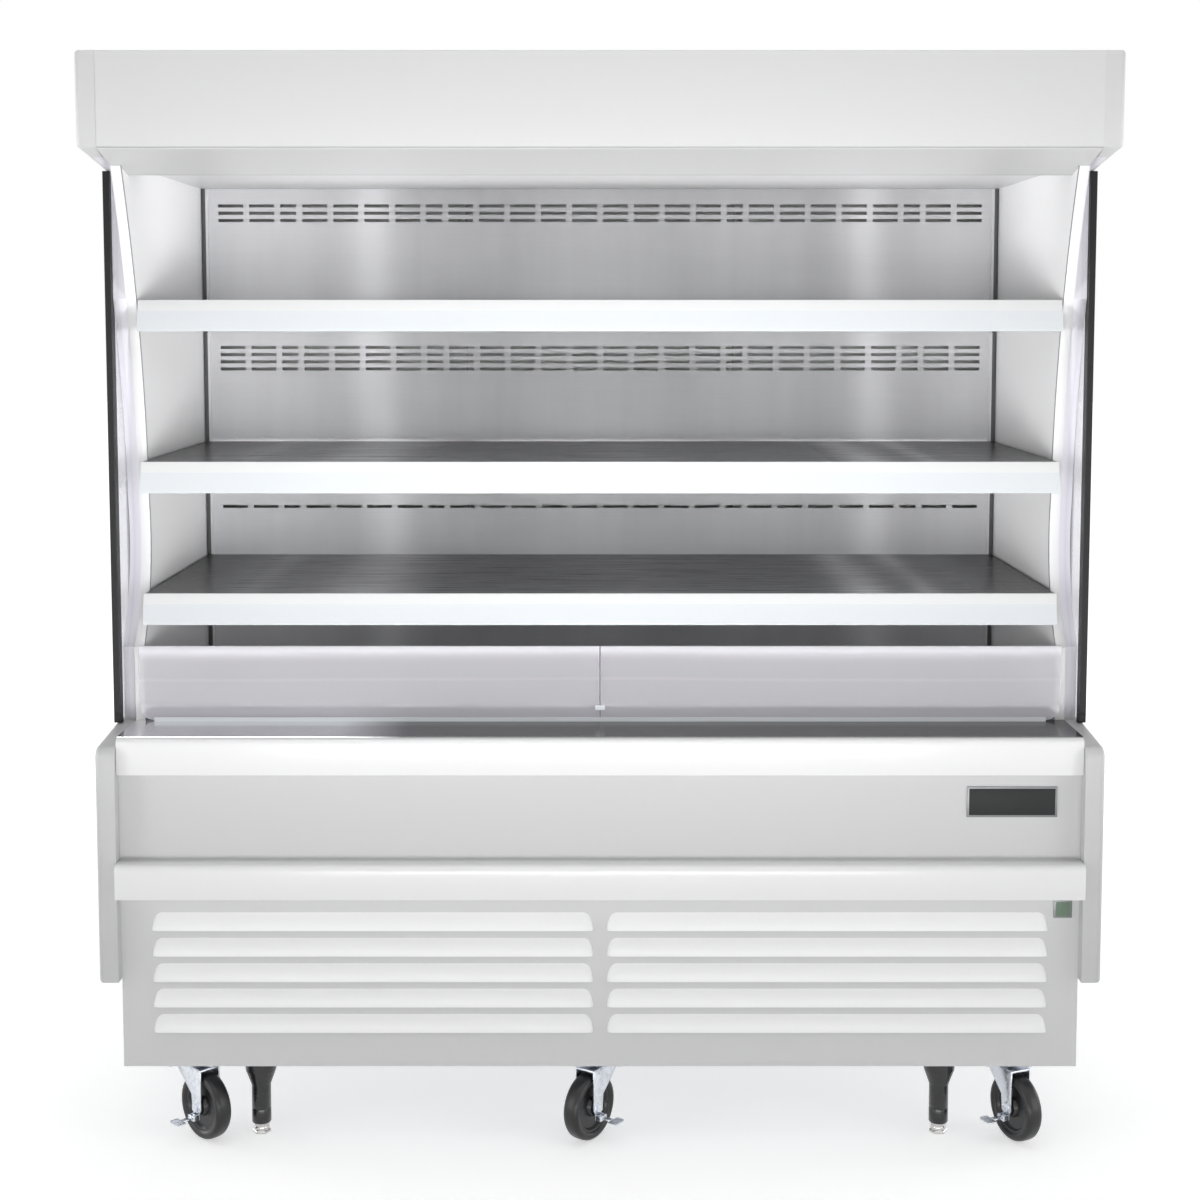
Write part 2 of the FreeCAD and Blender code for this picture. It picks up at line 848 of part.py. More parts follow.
def return_air_grille():
    half = body_half - skin
    first = ledge_back + seat_gap
    last = first + grille_depth
    plate = box(-half, half, first, last, tub_top, deck_top)
    margin = foam_end + grille_side_margin
    pitch = 2 * (body_half - margin) / grille_slots
    slots = []
    for slot in range(grille_slots):
        left = -body_half + margin + slot * pitch + (pitch - grille_slot_width) / 2
        for row in range(2):
            near = first + grille_first_slot + grille_slot_step * row
            slots.append(box(left, left + grille_slot_width, near, near + grille_slot_depth, tub_top, deck_top))
    return plate.cut(slots)


# ---- Fans -----------------------------------------------------------------------------------------------------------------------------
def fan(radius, x, hub_reach, level):
    """Axial fan that turns about the depth axis."""
    along = FreeCAD.Vector(0, 1, 0)
    hub_y = front + hub_reach
    hub = cylinder(fan_hub_radius, fan_hub_length, x, hub_y, level, along)
    blades = []
    for number in range(fan_blades):
        root = fan_hub_radius - fan_root_depth
        size = (fan_blade_width, fan_blade_thickness, radius - root)
        corner = FreeCAD.Vector(-fan_blade_width / 2, -fan_blade_thickness / 2, root)
        blade = Part.makeBox(*size, corner)
        blade.rotate(FreeCAD.Vector(0, 0, 0), FreeCAD.Vector(0, 0, 1), fan_blade_pitch)
        blade.rotate(FreeCAD.Vector(0, 0, 0), along, number * 360.0 / fan_blades)
        blade.translate(FreeCAD.Vector(x, hub_y + fan_hub_length / 2, level))
        blades.append(blade)
    bore = cylinder(shaft_radius + running_gap, fan_hub_length, x, hub_y, level, along)
    return fuse(hub, *blades).cut(bore)


def fan_plate(x_low, x_high, z_low, z_high, plate_reach, centres, radius, level):
    """Plate with a round mouth for each fan, a bar across each mouth, a motor and a shaft."""
    along = FreeCAD.Vector(0, 1, 0)
    plate = box(x_low, x_high, plate_reach, plate_reach + sheet, z_low, z_high)
    mouth = radius + fan_tip_gap
    plate_y = front + plate_reach
    mouths = [cylinder(mouth, sheet, x, plate_y, level, along) for x in centres]
    plate = plate.cut(mouths)
    added = []
    bar_reach = plate_reach + sheet
    motor_reach = bar_reach + motor_bar_thickness
    shaft_length = sheet + motor_bar_thickness + fan_standoff + fan_hub_length
    span = mouth + motor_bar_overlap
    half_bar = motor_bar_height / 2
    half_motor = motor_size / 2
    for x in centres:
        bar = box(x - span, x + span, bar_reach, motor_reach, level - half_bar, level + half_bar)
        motor_ends = (x - half_motor, x + half_motor)
        motor_back = motor_reach + motor_length
        motor = box(*motor_ends, motor_reach, motor_back, level - half_motor, level + half_motor)
        shaft = cylinder(shaft_radius, shaft_length, x, front + motor_reach - shaft_length, level, along)
        added += [bar, motor, shaft]
    return fuse(plate, *added)


def evaporator_unit():
    low = machine_top + foam_floor
    half = body_half - foam_end
    level = low + evaporator_fan_level
    centres = (-evaporator_fan_place, evaporator_fan_place)
    plate_top = tub_top - seat_gap
    plate = fan_plate(-half, half, low, plate_top, fan_deck_front, centres, evaporator_fan_radius, level)
    coil_back = evaporator_front + evaporator_depth
    length = half - evaporator_end_gap
    coil = box(-length, length, evaporator_front, coil_back, low, low + evaporator_height)
    return group([plate, coil])


def condensing_unit():
    left = condenser_left
    right = condenser_left + condenser_length
    low = pan_top
    high = pan_top + condenser_height
    coil_back = condenser_front + condenser_depth
    coil = box(left, right, condenser_front, coil_back, low, high)
    shroud_back = coil_back + shroud_depth
    centre_x = (left + right) / 2
    level = (low + high) / 2
    plate = fan_plate(left, right, low, high, shroud_back, (centre_x,), condenser_fan_radius, level)
    shroud = box(left, right, coil_back, shroud_back, low, high)
    hollow = box(left + sheet, right - sheet, coil_back, shroud_back, low + sheet, high - sheet)
    coil_with_shroud = fuse(coil, shroud.cut(hollow), plate)
    foot_size = compressor_radius + compressor_foot_overhang
    reach = compressor_reach
    foot_ends = (compressor_x - foot_size, compressor_x + foot_size)
    foot = box(*foot_ends, reach - foot_size, reach + foot_size, low, low + compressor_foot)
    can_y = front + reach
    can = cylinder(compressor_radius, compressor_height, compressor_x, can_y, low + compressor_foot)
    control_top = low + control_box_size
    control_right = control_box_x + control_box_size
    control_rear = control_box_reach + control_box_size
    control = box(control_box_x, control_right, control_box_reach, control_rear, low, control_top)
    return group([coil_with_shroud, fuse(foot, can), control])


# ---- Casters ------------------------------------------------------------------------------------------------------------------------------
def caster_places():
    """Swivel axis and turn of every caster, front row first, from left to right."""
    places = []
    for y, turns in ((caster_front_y, front_caster_turns), (caster_back_y, rear_caster_turns)):
        for column, turn in enumerate(turns):
            places.append(((column - 1) * caster_spread, y, turn))
    return places


def brake_sides():
    """Which side of each fork carries a brake: -1 left, 1 right, 0 none (the rear row)."""
    return [-1 if on_left else 1 for on_left in brake_on_left] + [0] * len(rear_caster_turns)


def put_caster(shape, place):
    """Turn a shape drawn with its trail along +X and set it under its swivel axis."""
    x, y, turn = place
    turned = shape.copy()
    turned.rotate(FreeCAD.Vector(0, 0, 0), FreeCAD.Vector(0, 0, 1), turn - 90.0)
    turned.translate(FreeCAD.Vector(x, y, 0))
    return turned


def caster_plate(x, y):
    corner_x = x - caster_plate_width / 2
    corner_y = y - caster_plate_depth / 2
    plate_bottom = base_level - caster_plate_thickness
    corner = FreeCAD.Vector(corner_x, corner_y, plate_bottom)
    return Part.makeBox(caster_plate_width, caster_plate_depth, caster_plate_thickness, corner)


def fork_leg():
    """One side plate: broad at the crown, narrowed to an eye round the axle."""
    eye = fork_eye_radius
    low = wheel_radius - eye
    outline = [
        (-fork_nose, fork_top),
        (wheel_trail + eye, fork_top),
        (wheel_trail + eye, wheel_radius - eye / 2),
        (wheel_trail + eye / 2, low),
        (wheel_trail - eye / 2, low),
        (wheel_trail - eye, wheel_radius - eye / 2),
    ]
    points = [FreeCAD.Vector(x, fork_inner, z) for x, z in outline]
    face = Part.Face(Part.makePolygon(points + points[:1]))
    return face.extrude(FreeCAD.Vector(0, fork_thickness, 0))


def hexagon_head(start):
    """Hexagon head of the axle bolt, laid across the fork."""
    corners = []
    for corner in range(6):
        angle = math.radians(60.0 * corner)
        x = wheel_trail + axle_head_radius * math.cos(angle)
        z = wheel_radius + axle_head_radius * math.sin(angle)
        corners.append(FreeCAD.Vector(x, start, z))
    face = Part.Face(Part.makePolygon(corners + corners[:1]))
    return face.extrude(FreeCAD.Vector(0, axle_head_length, 0))


def fork(brake_side):
    """Fork with the ball race that turns under the plate, the axle bolt and any brake ears."""
    crown_low = FreeCAD.Vector(-fork_nose, -fork_outer, crown_bottom)
    crown_length = fork_nose + wheel_trail + fork_eye_radius
    crown = Part.makeBox(crown_length, 2 * fork_outer, fork_top - crown_bottom, crown_low)
    race = cylinder(race_radius, race_height, 0, 0, fork_top)
    leg = fork_leg()
    other_leg = leg.mirror(FreeCAD.Vector(0, 0, 0), FreeCAD.Vector(0, 1, 0))
    across = FreeCAD.Vector(0, 1, 0)
    axle = cylinder(axle_radius, 2 * fork_inner, wheel_trail, -fork_inner, wheel_radius, across)
    heads = [hexagon_head(start) for start in (-axle_reach, fork_outer)]
    fork_body = fuse(crown, race, leg, other_leg, axle, *heads)
    if brake_side:
        fork_body = fuse(fork_body, *brake_ears(brake_side))
    return fork_body


def brake_ears(brake_side):
    """Two ears on the fork's outer face with the pin that carries the pedal."""
    along = FreeCAD.Vector(1, 0, 0)
    half = brake_barrel_length / 2 + seat_gap
    pieces = []
    for start in (-half - brake_ear_thickness, half):
        near = min(brake_side * fork_outer, brake_side * (brake_pin_side + brake_barrel_radius))
        depth = brake_pin_side + brake_barrel_radius - fork_outer
        corner = FreeCAD.Vector(wheel_trail + start, near, brake_pin_level - brake_barrel_radius)
        pieces.append(Part.makeBox(brake_ear_thickness, depth, 2 * brake_barrel_radius, corner))
    pin_start = wheel_trail - half - brake_ear_thickness
    pin_length = 2 * (half + brake_ear_thickness)
    pin_side = brake_side * brake_pin_side
    pieces.append(cylinder(brake_pin_radius, pin_length, pin_start, pin_side, brake_pin_level, along))
    leg_tab_corner = FreeCAD.Vector(
        wheel_trail - half - brake_ear_thickness,
        min(brake_side * fork_inner, brake_side * fork_outer),
        brake_pin_level - brake_barrel_radius,
    )
    pieces.append(Part.makeBox(pin_length, fork_thickness, wheel_radius - brake_pin_level, leg_tab_corner))
    return pieces


def brake_pedal(brake_side):
    """Side pedal: a block on the pin, an arm and a broad tread plate."""
    along = FreeCAD.Vector(1, 0, 0)
    start = wheel_trail - brake_barrel_length / 2
    radius = brake_barrel_radius
    barrel_corner = FreeCAD.Vector(start, brake_pin_side - radius, brake_pin_level - radius)
    barrel = Part.makeBox(brake_barrel_length, 2 * radius, 2 * radius, barrel_corner)
    bore = cylinder(brake_pin_radius + running_gap, brake_barrel_length, start, brake_pin_side, brake_pin_level, along)
    arm_low = brake_pin_level - pedal_thickness / 2
    arm_corner = FreeCAD.Vector(start, brake_pin_side, arm_low)
    arm = Part.makeBox(brake_barrel_length, brake_arm_length, pedal_thickness, arm_corner)
    tread_corner = FreeCAD.Vector(wheel_trail - pedal_width / 2, brake_pin_side + brake_arm_length, arm_low)
    tread = Part.makeBox(pedal_width, pedal_length, pedal_thickness, tread_corner)
    pedal = fuse(barrel, arm, tread).cut(bore)
    if brake_side < 0:
        pedal = pedal.mirror(FreeCAD.Vector(0, 0, 0), FreeCAD.Vector(0, 1, 0))
    return pedal


def wheel():
    """Black wheel, bored for the axle."""
    across = FreeCAD.Vector(0, 1, 0)
    half = wheel_width / 2
    tyre = cylinder(wheel_radius, wheel_width, wheel_trail, -half, wheel_radius, across)
    bore = cylinder(axle_radius + running_gap, wheel_width, wheel_trail, -half, wheel_radius, across)
    return tyre.cut(bore)


# ---- Levelling legs ---------------------------------------------------------------------------------------------------------------------------
def leg_sleeve(x):
    y = caster_front_y
    collar_bottom = base_level - leg_collar_height
    taper_bottom = collar_bottom - leg_taper_height
    collar = cylinder(leg_collar_radius, leg_collar_height, x, y, collar_bottom)
    taper_base = FreeCAD.Vector(x, y, taper_bottom)
    taper = Part.makeCone(leg_top_radius, leg_collar_radius, leg_taper_height, taper_base)
    column = cylinder(leg_top_radius, taper_bottom - leg_foot_show, x, y, leg_foot_show)
    bore_length = foot_engagement + foot_top_gap + leg_foot_travel
    bore = cylinder(foot_radius + running_gap, bore_length, x, y, leg_foot_show)
    return fuse(collar, taper, column).cut(bore)


def leg_foot(x):
    """Chrome stem that telescopes in the sleeve, on a six-sided pad."""
    y = caster_front_y
    corners = []
    for corner in range(6):
        angle = math.radians(60.0 * corner)
        along_x = x + foot_pad_radius * math.cos(angle)
        along_y = y + foot_pad_radius * math.sin(angle)
        corners.append(FreeCAD.Vector(along_x, along_y, 0))
    face = Part.Face(Part.makePolygon(corners + corners[:1]))
    pad = face.extrude(FreeCAD.Vector(0, 0, foot_pad_height))
    stem = cylinder(foot_radius, leg_foot_show + foot_engagement, x, y, 0)
    return fuse(pad, stem)


# ---- Build every piece ---------------------------------------------------------------------------------------------------------------------------
def build_body():
    save("base_frame", base_frame())
    save("base_pan", base_pan())
    side = machine_side()
    save("machine_side_right", side)
    save("machine_side_left", mirrored(side))
    save("louvre_panel", louvre_panel())
    save("rear_grille", rear_grille())
    save("insulated_tub", insulated_tub())
    save("rear_wall", rear_wall())
    save("roof_panel", roof_panel())
    end = end_panel()
    save("end_panel_right", end)
    save("end_panel_left", mirrored(end))
    glass = side_glass()
    save("side_glass_right", glass)
    save("side_glass_left", mirrored(glass))
    trims = glass_trim()
    save("glass_trims", group(trims + [mirrored(trim) for trim in trims]))
    liner = side_liner()
    save("side_liner_right", liner)
    save("side_liner_left", mirrored(liner))


def build_front_and_canopy():
    save("front_panel", front_panel())
    lower_top = machine_top + lower_bumper_height
    save("bumper_lower", bumper(lower_bumper_front, machine_top, lower_top))
    save("bumper_upper", bumper(upper_bumper_front, tub_top - upper_bumper_height, tub_top))
    save("sill_cap", sill_cap())
    pane = guard_pane()
    save("front_guard", group([pane, mirrored(pane)]))
    save("guard_fittings", group(guard_fittings()))
    save("canopy_fascia", canopy_fascia())
    save("canopy_valance", canopy_valance())
    save("ceiling_panel", ceiling_panel())
    save("air_honeycomb", air_honeycomb())


def build_inside():
    right_upright = upright()
    save("inner_back_panel", group([inner_back_panel(), right_upright, mirrored(right_upright)]))
    for number, level in enumerate(shelf_levels, start=1):
        save("shelf_%d" % number, shelf(deck_top + level))
        save("price_rail_%d" % number, price_rail(deck_top + level))
    save("deck_pan", deck_pan())
    save("return_air_grille", return_air_grille())
    save("evaporator_unit", evaporator_unit())
    save("condensing_unit", condensing_unit())


def build_fans():
    hub_back = fan_deck_front - fan_standoff
    level = machine_top + foam_floor + evaporator_fan_level
    hub_reach = hub_back - fan_hub_length + fan_standoff / 2
    save("evaporator_fan_left", fan(evaporator_fan_radius, -evaporator_fan_place, hub_reach, level))
    save("evaporator_fan_right", fan(evaporator_fan_radius, evaporator_fan_place, hub_reach, level))
    shroud_back = condenser_front + condenser_depth + shroud_depth
    condenser_x = condenser_left + condenser_length / 2
    condenser_level = pan_top + condenser_height / 2
    condenser_hub = shroud_back - fan_standoff / 2 - fan_hub_length
    save("condenser_fan", fan(condenser_fan_radius, condenser_x, condenser_hub, condenser_level))


def build_casters_and_legs():
    places = caster_places()
    save("caster_plates", group([caster_plate(x, y) for x, y, turn in places]))
    sides = brake_sides()
    one_wheel = wheel()
    for number, place in enumerate(places, start=1):
        side = sides[number - 1]
        save("caster_fork_%d" % number, put_caster(fork(side), place))
        save("caster_wheel_%d" % number, put_caster(one_wheel, place))
        if side:
            save("brake_pedal_%d" % number, put_caster(brake_pedal(side), place))
    save("leg_sleeves", group([leg_sleeve(-leg_spread), leg_sleeve(leg_spread)]))
    save("leg_foot_left", leg_foot(-leg_spread))
    save("leg_foot_right", leg_foot(leg_spread))


os.makedirs("parts", exist_ok=True)
build_body()
build_front_and_canopy()
build_inside()
build_fans()
build_casters_and_legs()
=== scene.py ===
import math

import bmesh
import bpy
from mathutils import Matrix, Vector


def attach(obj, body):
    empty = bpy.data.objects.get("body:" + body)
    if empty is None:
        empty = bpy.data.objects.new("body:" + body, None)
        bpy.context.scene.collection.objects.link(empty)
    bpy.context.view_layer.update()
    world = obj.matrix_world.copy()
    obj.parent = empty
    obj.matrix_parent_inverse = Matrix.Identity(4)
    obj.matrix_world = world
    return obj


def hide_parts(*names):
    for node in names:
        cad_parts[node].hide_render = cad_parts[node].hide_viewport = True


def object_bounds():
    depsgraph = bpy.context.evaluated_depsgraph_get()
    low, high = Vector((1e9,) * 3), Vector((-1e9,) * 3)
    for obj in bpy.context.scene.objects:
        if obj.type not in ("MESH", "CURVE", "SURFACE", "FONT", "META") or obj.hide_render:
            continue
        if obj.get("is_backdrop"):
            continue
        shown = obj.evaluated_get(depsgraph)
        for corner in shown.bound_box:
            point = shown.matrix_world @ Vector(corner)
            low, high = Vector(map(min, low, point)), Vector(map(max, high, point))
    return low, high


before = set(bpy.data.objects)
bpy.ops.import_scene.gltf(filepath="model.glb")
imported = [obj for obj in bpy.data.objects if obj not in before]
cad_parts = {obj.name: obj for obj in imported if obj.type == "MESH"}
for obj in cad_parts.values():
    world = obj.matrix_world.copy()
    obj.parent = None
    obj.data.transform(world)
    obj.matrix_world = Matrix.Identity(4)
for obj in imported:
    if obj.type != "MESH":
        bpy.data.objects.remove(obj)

# Open display fridge on casters. Sizes are in millimetres until a piece is finished.
# Depths are "reach": the distance behind the front plane of the canopy.

scene = bpy.context.scene
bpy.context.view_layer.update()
canopyFront = -444.5
skinFront = 55.0  # reach of the front sheets


def deep(reach):  # depth coordinate of a reach
    return canopyFront + reach


# mesh helpers

def startMesh():
    return bmesh.new()


def facesOf(verts):
    return list({face for vert in verts for face in vert.link_faces})


def roundEdges(mesh, edges, radius, steps=2):
    bmesh.ops.bevel(mesh, geom=list(edges), offset=radius, offset_type="OFFSET", segments=steps,
                    profile=0.5, affect="EDGES", material=-1, clamp_overlap=True)


def addBlock(mesh, x, y, z, radius=0.0, steps=2, finish=0):
    centre = Vector(((x[0] + x[1]) / 2, (y[0] + y[1]) / 2, (z[0] + z[1]) / 2))
    place = Matrix.Translation(centre) @ Matrix.Diagonal((x[1] - x[0], y[1] - y[0], z[1] - z[0], 1))
    made = bmesh.ops.create_cube(mesh, size=1.0, matrix=place)
    for face in facesOf(made["verts"]):
        face.material_index = finish
    if radius:
        roundEdges(mesh, {edge for vert in made["verts"] for edge in vert.link_edges}, radius, steps)


def addPrism(mesh, outline, span, across="X", radius=0.0, steps=2, corners=None):
    # a closed outline pushed along one axis; corners picks the outline points whose long edges are rounded
    def point(a, b, c):
        return {"X": (c, a, b), "Y": (a, c, b), "Z": (a, b, c)}[across]
    first = [mesh.verts.new(point(a, b, span[0])) for a, b in outline]
    last = [mesh.verts.new(point(a, b, span[1])) for a, b in outline]
    made = [mesh.faces.new(first), mesh.faces.new(list(reversed(last)))]
    count = len(outline)
    for index in range(count):
        following = (index + 1) % count
        made.append(mesh.faces.new((first[index], first[following], last[following], last[index])))
    bmesh.ops.recalc_face_normals(mesh, faces=made)
    if radius:
        if corners is None:
            edges = {edge for face in made for edge in face.edges}
        else:
            edges = {edge for index in corners for edge in first[index].link_edges
                     if edge.other_vert(first[index]) is last[index]}
        roundEdges(mesh, edges, radius, steps)


def besideAxis(axis):  # a direction square to an upright or level axis
    return Vector((0, 0, 1)) if abs(axis[2]) < 0.5 else Vector((1, 0, 0))


def addSpin(mesh, outline, centre, axis, steps=48, finish=0, ring=False):
    # outline is (radius, distance along the axis); a ring closes on itself
    aside, along, middle = besideAxis(axis), Vector(axis), Vector(centre)
    verts = [mesh.verts.new(middle + aside * radius + along * place) for radius, place in outline]
    pairs = list(zip(verts, verts[1:])) + ([(verts[-1], verts[0])] if ring else [])
    edges = [mesh.edges.new(pair) for pair in pairs]
    before = set(mesh.faces)
    bmesh.ops.spin(mesh, geom=verts + edges, cent=middle, axis=along, angle=math.tau, steps=steps,
                   use_merge=True, use_duplicate=False)
    made = [face for face in mesh.faces if face not in before]
    bmesh.ops.remove_doubles(mesh, verts=list({vert for face in made for vert in face.verts}), dist=0.001)
    for face in mesh.faces:
        if face not in before:
            face.material_index = finish


def addHexHead(mesh, centre, axis, radius, height):
    aside, along = besideAxis(axis), Vector(axis)
    turns = [Matrix.Rotation(math.radians(60 * corner), 3, along) for corner in range(6)]
    verts = [mesh.verts.new(Vector(centre) + turn @ (aside * radius)) for turn in turns]
    base = mesh.faces.new(verts)
    grown = bmesh.ops.extrude_face_region(mesh, geom=[base])
    top = [item for item in grown["geom"] if isinstance(item, bmesh.types.BMVert)]
    bmesh.ops.translate(mesh, verts=top, vec=along * height)
    rim = {edge for edge in mesh.edges if edge.verts[0] in top and edge.verts[1] in top}
    roundEdges(mesh, rim, height * 0.25, 1)


def finishPiece(mesh, name, finishes, body, replaced=(), place=None, sharp=32):
    bmesh.ops.remove_doubles(mesh, verts=mesh.verts, dist=0.0005)
    if place is not None:
        bmesh.ops.transform(mesh, matrix=place, verts=mesh.verts)
    bmesh.ops.scale(mesh, vec=(0.001, 0.001, 0.001), verts=mesh.verts)
    bmesh.ops.recalc_face_normals(mesh, faces=mesh.faces)
    data = bpy.data.meshes.new(name)
    mesh.to_mesh(data)
    mesh.free()
    for finish in finishes:
        data.materials.append(finish)
    data.shade_smooth()
    data.set_sharp_from_angle(angle=math.radians(sharp))
    piece = bpy.data.objects.new(name, data)
    scene.collection.objects.link(piece)
    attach(piece, body)
    if replaced:
        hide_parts(*replaced)


# shader helpers

class Value:  # a node output that takes part in sums
    def __init__(self, finish, socket):
        self.finish = finish
        self.socket = socket

    def sum(self, kind, other, turned=False):
        pair = (other, self) if turned else (self, other)
        return self.finish.node("ShaderNodeMath", {"operation": kind}, pair)

    def __add__(self, other):
        return self.sum("ADD", other)

    def __sub__(self, other):
        return self.sum("SUBTRACT", other)

    def __rsub__(self, other):
        return self.sum("SUBTRACT", other, True)

    def __mul__(self, other):
        return self.sum("MULTIPLY", other)

    def __truediv__(self, other):
        return self.sum("DIVIDE", other)

    __radd__ = __add__
    __rmul__ = __mul__


class Finish:  # one material, built node by node
    def __init__(self, name, rough=0.4, metal=0.0, **constants):
        self.material = bpy.data.materials.new(name)
        self.material.use_nodes = True
        self.tree = self.material.node_tree
        self.shader = self.tree.nodes["Principled BSDF"]
        self.shader.inputs["Roughness"].default_value = rough
        self.shader.inputs["Metallic"].default_value = metal
        for key, value in constants.items():
            self.shader.inputs[key.replace("_", " ")].default_value = value
        self.place = self.node("ShaderNodeTexCoord", {}, {}, "Object")

    def node(self, kind, settings, inputs, output=0):
        made = self.tree.nodes.new(kind)
        for key, value in settings.items():
            setattr(made, key, value)
        for slot, value in (inputs.items() if isinstance(inputs, dict) else enumerate(inputs)):
            self.feed(made.inputs[slot], value)
        return Value(self, made.outputs[output])

    def feed(self, socket, value):
        if isinstance(value, Value):
            self.tree.links.new(value.socket, socket)
        else:
            socket.default_value = value

    def stretched(self, stretch):
        return self.node("ShaderNodeVectorMath", {"operation": "MULTIPLY"}, (self.place, stretch))

    def noise(self, stretch, detail=2.0, coarse=0.5):
        inputs = {"Vector": self.stretched(stretch), "Scale": 1.0, "Detail": detail, "Roughness": coarse}
        return self.node("ShaderNodeTexNoise", {}, inputs, "Fac")

    def axis(self, letter):
        return self.node("ShaderNodeSeparateXYZ", {}, (self.place,), letter)

    def bell(self, value, middle, width):  # a soft hump round one place
        away = (value - middle) / width
        return self.node("ShaderNodeMath", {"operation": "EXPONENT"}, (away * away * -1.0,))

    def limit(self, value):
        return self.node("ShaderNodeClamp", {}, (value, 0.0, 1.0))

    def magnitude(self, value):
        return self.node("ShaderNodeMath", {"operation": "ABSOLUTE"}, (value,))

    def between(self, share, first, second):
        inputs = {0: share, 6: (*first, 1), 7: (*second, 1)}
        return self.node("ShaderNodeMix", {"data_type": "RGBA"}, inputs, 2)

    def shade(self, colour, factor):
        inputs = {"Vector": colour, "Scale": factor}
        return self.node("ShaderNodeVectorMath", {"operation": "SCALE"}, inputs)

    def use(self, name, value):
        self.feed(self.shader.inputs[name], value)

    def bump(self, height, depth, share):
        inputs = {"Height": height, "Distance": depth, "Strength": share}
        self.use("Normal", self.node("ShaderNodeBump", {}, inputs, "Normal"))


paintLook = {"drift": 1.7, "peel": 900.0, "seamWidth": 0.0011, "screwSize": 0.0045, "bump": 0.00005}


def powderCoat(paint, peel=paintLook["peel"]):
    # a slow drift of tone and a fine orange peel
    drift = paint.noise((paintLook["drift"],) * 3, 2.0)
    fine = paint.noise((peel,) * 3, 1.0)
    return drift, fine, 0.985 + drift * 0.02 + fine * 0.01


def sheetPaint(name, colour, rough=0.38, peel=paintLook["peel"], seams=(), screws=(), **constants):
    # powder coat with seams and rows of flush screws
    paint = Finish(name, rough, **constants)
    drift, fine, tone = powderCoat(paint, peel)
    height = fine
    for letter, place in seams:
        line = paint.bell(paint.axis(letter), place, paintLook["seamWidth"])
        tone = tone * (1.0 - line * 0.6)
        height = height - line * 6.0
    for letter, place, along, pitch in screws:
        steps = paint.node("ShaderNodeMath", {"operation": "PINGPONG"}, (paint.axis(along), pitch / 2))
        size = paintLook["screwSize"]
        dots = paint.bell(paint.axis(letter), place, size) * paint.bell(steps, pitch / 4, size)
        head = paint.limit(dots * 3.0 - 0.6)
        tone = tone * (1.0 - head * 0.4)
        height = height + head * 8.0
    paint.use("Base Color", paint.shade(colour, tone))
    paint.use("Roughness", rough - 0.05 + drift * 0.06 + fine * 0.04)
    paint.bump(height, paintLook["bump"], 0.5)
    return paint.material


def moulded(name, colour, rough=0.45, grain=1400.0, **constants):
    # moulded plastic or rubber: leathery grain and a little dust
    plastic = Finish(name, rough, **constants)
    cells = plastic.noise((grain, grain, grain), 2.0, 0.6)
    dust = plastic.noise((22.0, 22.0, 22.0), 3.0, 0.6)
    plastic.use("Base Color", plastic.shade(colour, 0.85 + dust * 0.3))
    plastic.use("Roughness", rough - 0.08 + dust * 0.14)
    plastic.bump(cells, 0.00006, 0.6)
    return plastic.material


def plated(name, colour, rough=0.3, spangle=160.0, metal=1.0, **constants):
    # zinc or galvanising: small crystals that take the light unevenly
    coat = Finish(name, rough, metal, **constants)
    cells = {"Vector": coat.stretched((spangle,) * 3), "Scale": 1.0}
    crystals = coat.node("ShaderNodeTexVoronoi", {}, cells, "Color")
    flake = coat.node("ShaderNodeSeparateXYZ", {}, (crystals,), "X")
    haze = coat.noise((30.0, 30.0, 30.0), 3.0)
    coat.use("Base Color", coat.shade(colour, 0.86 + flake * 0.16 + haze * 0.1))
    coat.use("Roughness", rough - 0.08 + flake * 0.1 + haze * 0.12)
    coat.bump(haze, 0.00008, 0.4)
    return coat.material


def brushed(name, colour, rough, grain, metal=1.0, drift=0.1, tune=None, **constants):
    # brushed sheet: long scratches along one way, and a slow drift across the sheet
    steel = Finish(name, rough, metal, **constants)
    lines = steel.noise(grain, 2.0, 0.7)
    slow = steel.noise((2.2, 2.2, 0.5), 2.0)
    tone = 1.0 - drift / 2 + slow * drift + (lines - 0.5) * 0.12
    if tune is not None:
        tone = tune(steel, tone)
    steel.use("Base Color", steel.shade(colour, tone))
    steel.use("Roughness", rough - 0.05 + lines * 0.1)
    steel.bump(lines, 0.00003, 0.5)
    return steel.material


# finishes

def paintedSheenBands(steel, tone):
    # painted reflection: broad upright bands of sheen painted on the back sheet, and its dark uprights at
    # both ends
    x = steel.axis("X")
    wobble = x + (steel.noise((1.5, 1.5, 1.1), 2.0) - 0.5) * 0.16
    paintedBands = steel.bell(wobble, -0.78, 0.26) * 0.34 + steel.bell(wobble, -0.49, 0.05) * 0.3
    paintedBands = paintedBands + steel.bell(wobble, -0.02, 0.16) * 0.12 + steel.bell(wobble, 0.30, 0.12) * 0.08
    paintedBands = paintedBands + steel.bell(wobble, 0.58, 0.05) * 0.34 + steel.bell(wobble, 0.78, 0.14) * 0.24
    clouds = steel.noise((3.0, 3.0, 5.0), 3.0, 0.6) + (steel.noise((26.0, 4.0, 1.6), 2.0) - 0.5) * 0.7
    edge = steel.limit((steel.magnitude(x) - 0.8505) / 0.0004)
    return tone * (0.64 + paintedBands + clouds * 0.13) * (1.0 - edge * 0.86)


def shelfPaintedReflection(steel, tone):
    # painted reflection: shelf tops are painted dark towards their ends, with bright painted streaks at set
    # places across them
    x = steel.axis("X")
    ends = steel.limit((steel.magnitude(x) - 0.70) / 0.08)
    paintedStreaks = steel.bell(x, -0.45, 0.09) * 0.85 + steel.bell(x, -0.66, 0.03) * 0.2
    paintedStreaks = paintedStreaks + steel.bell(x, 0.06, 0.12) * 0.2
    paintedStreaks = paintedStreaks + steel.bell(x, 0.50, 0.045) * 0.95 + steel.bell(x, 0.62, 0.028) * 0.6
    return tone * (0.34 + paintedStreaks) * (1.0 - ends * 0.75)


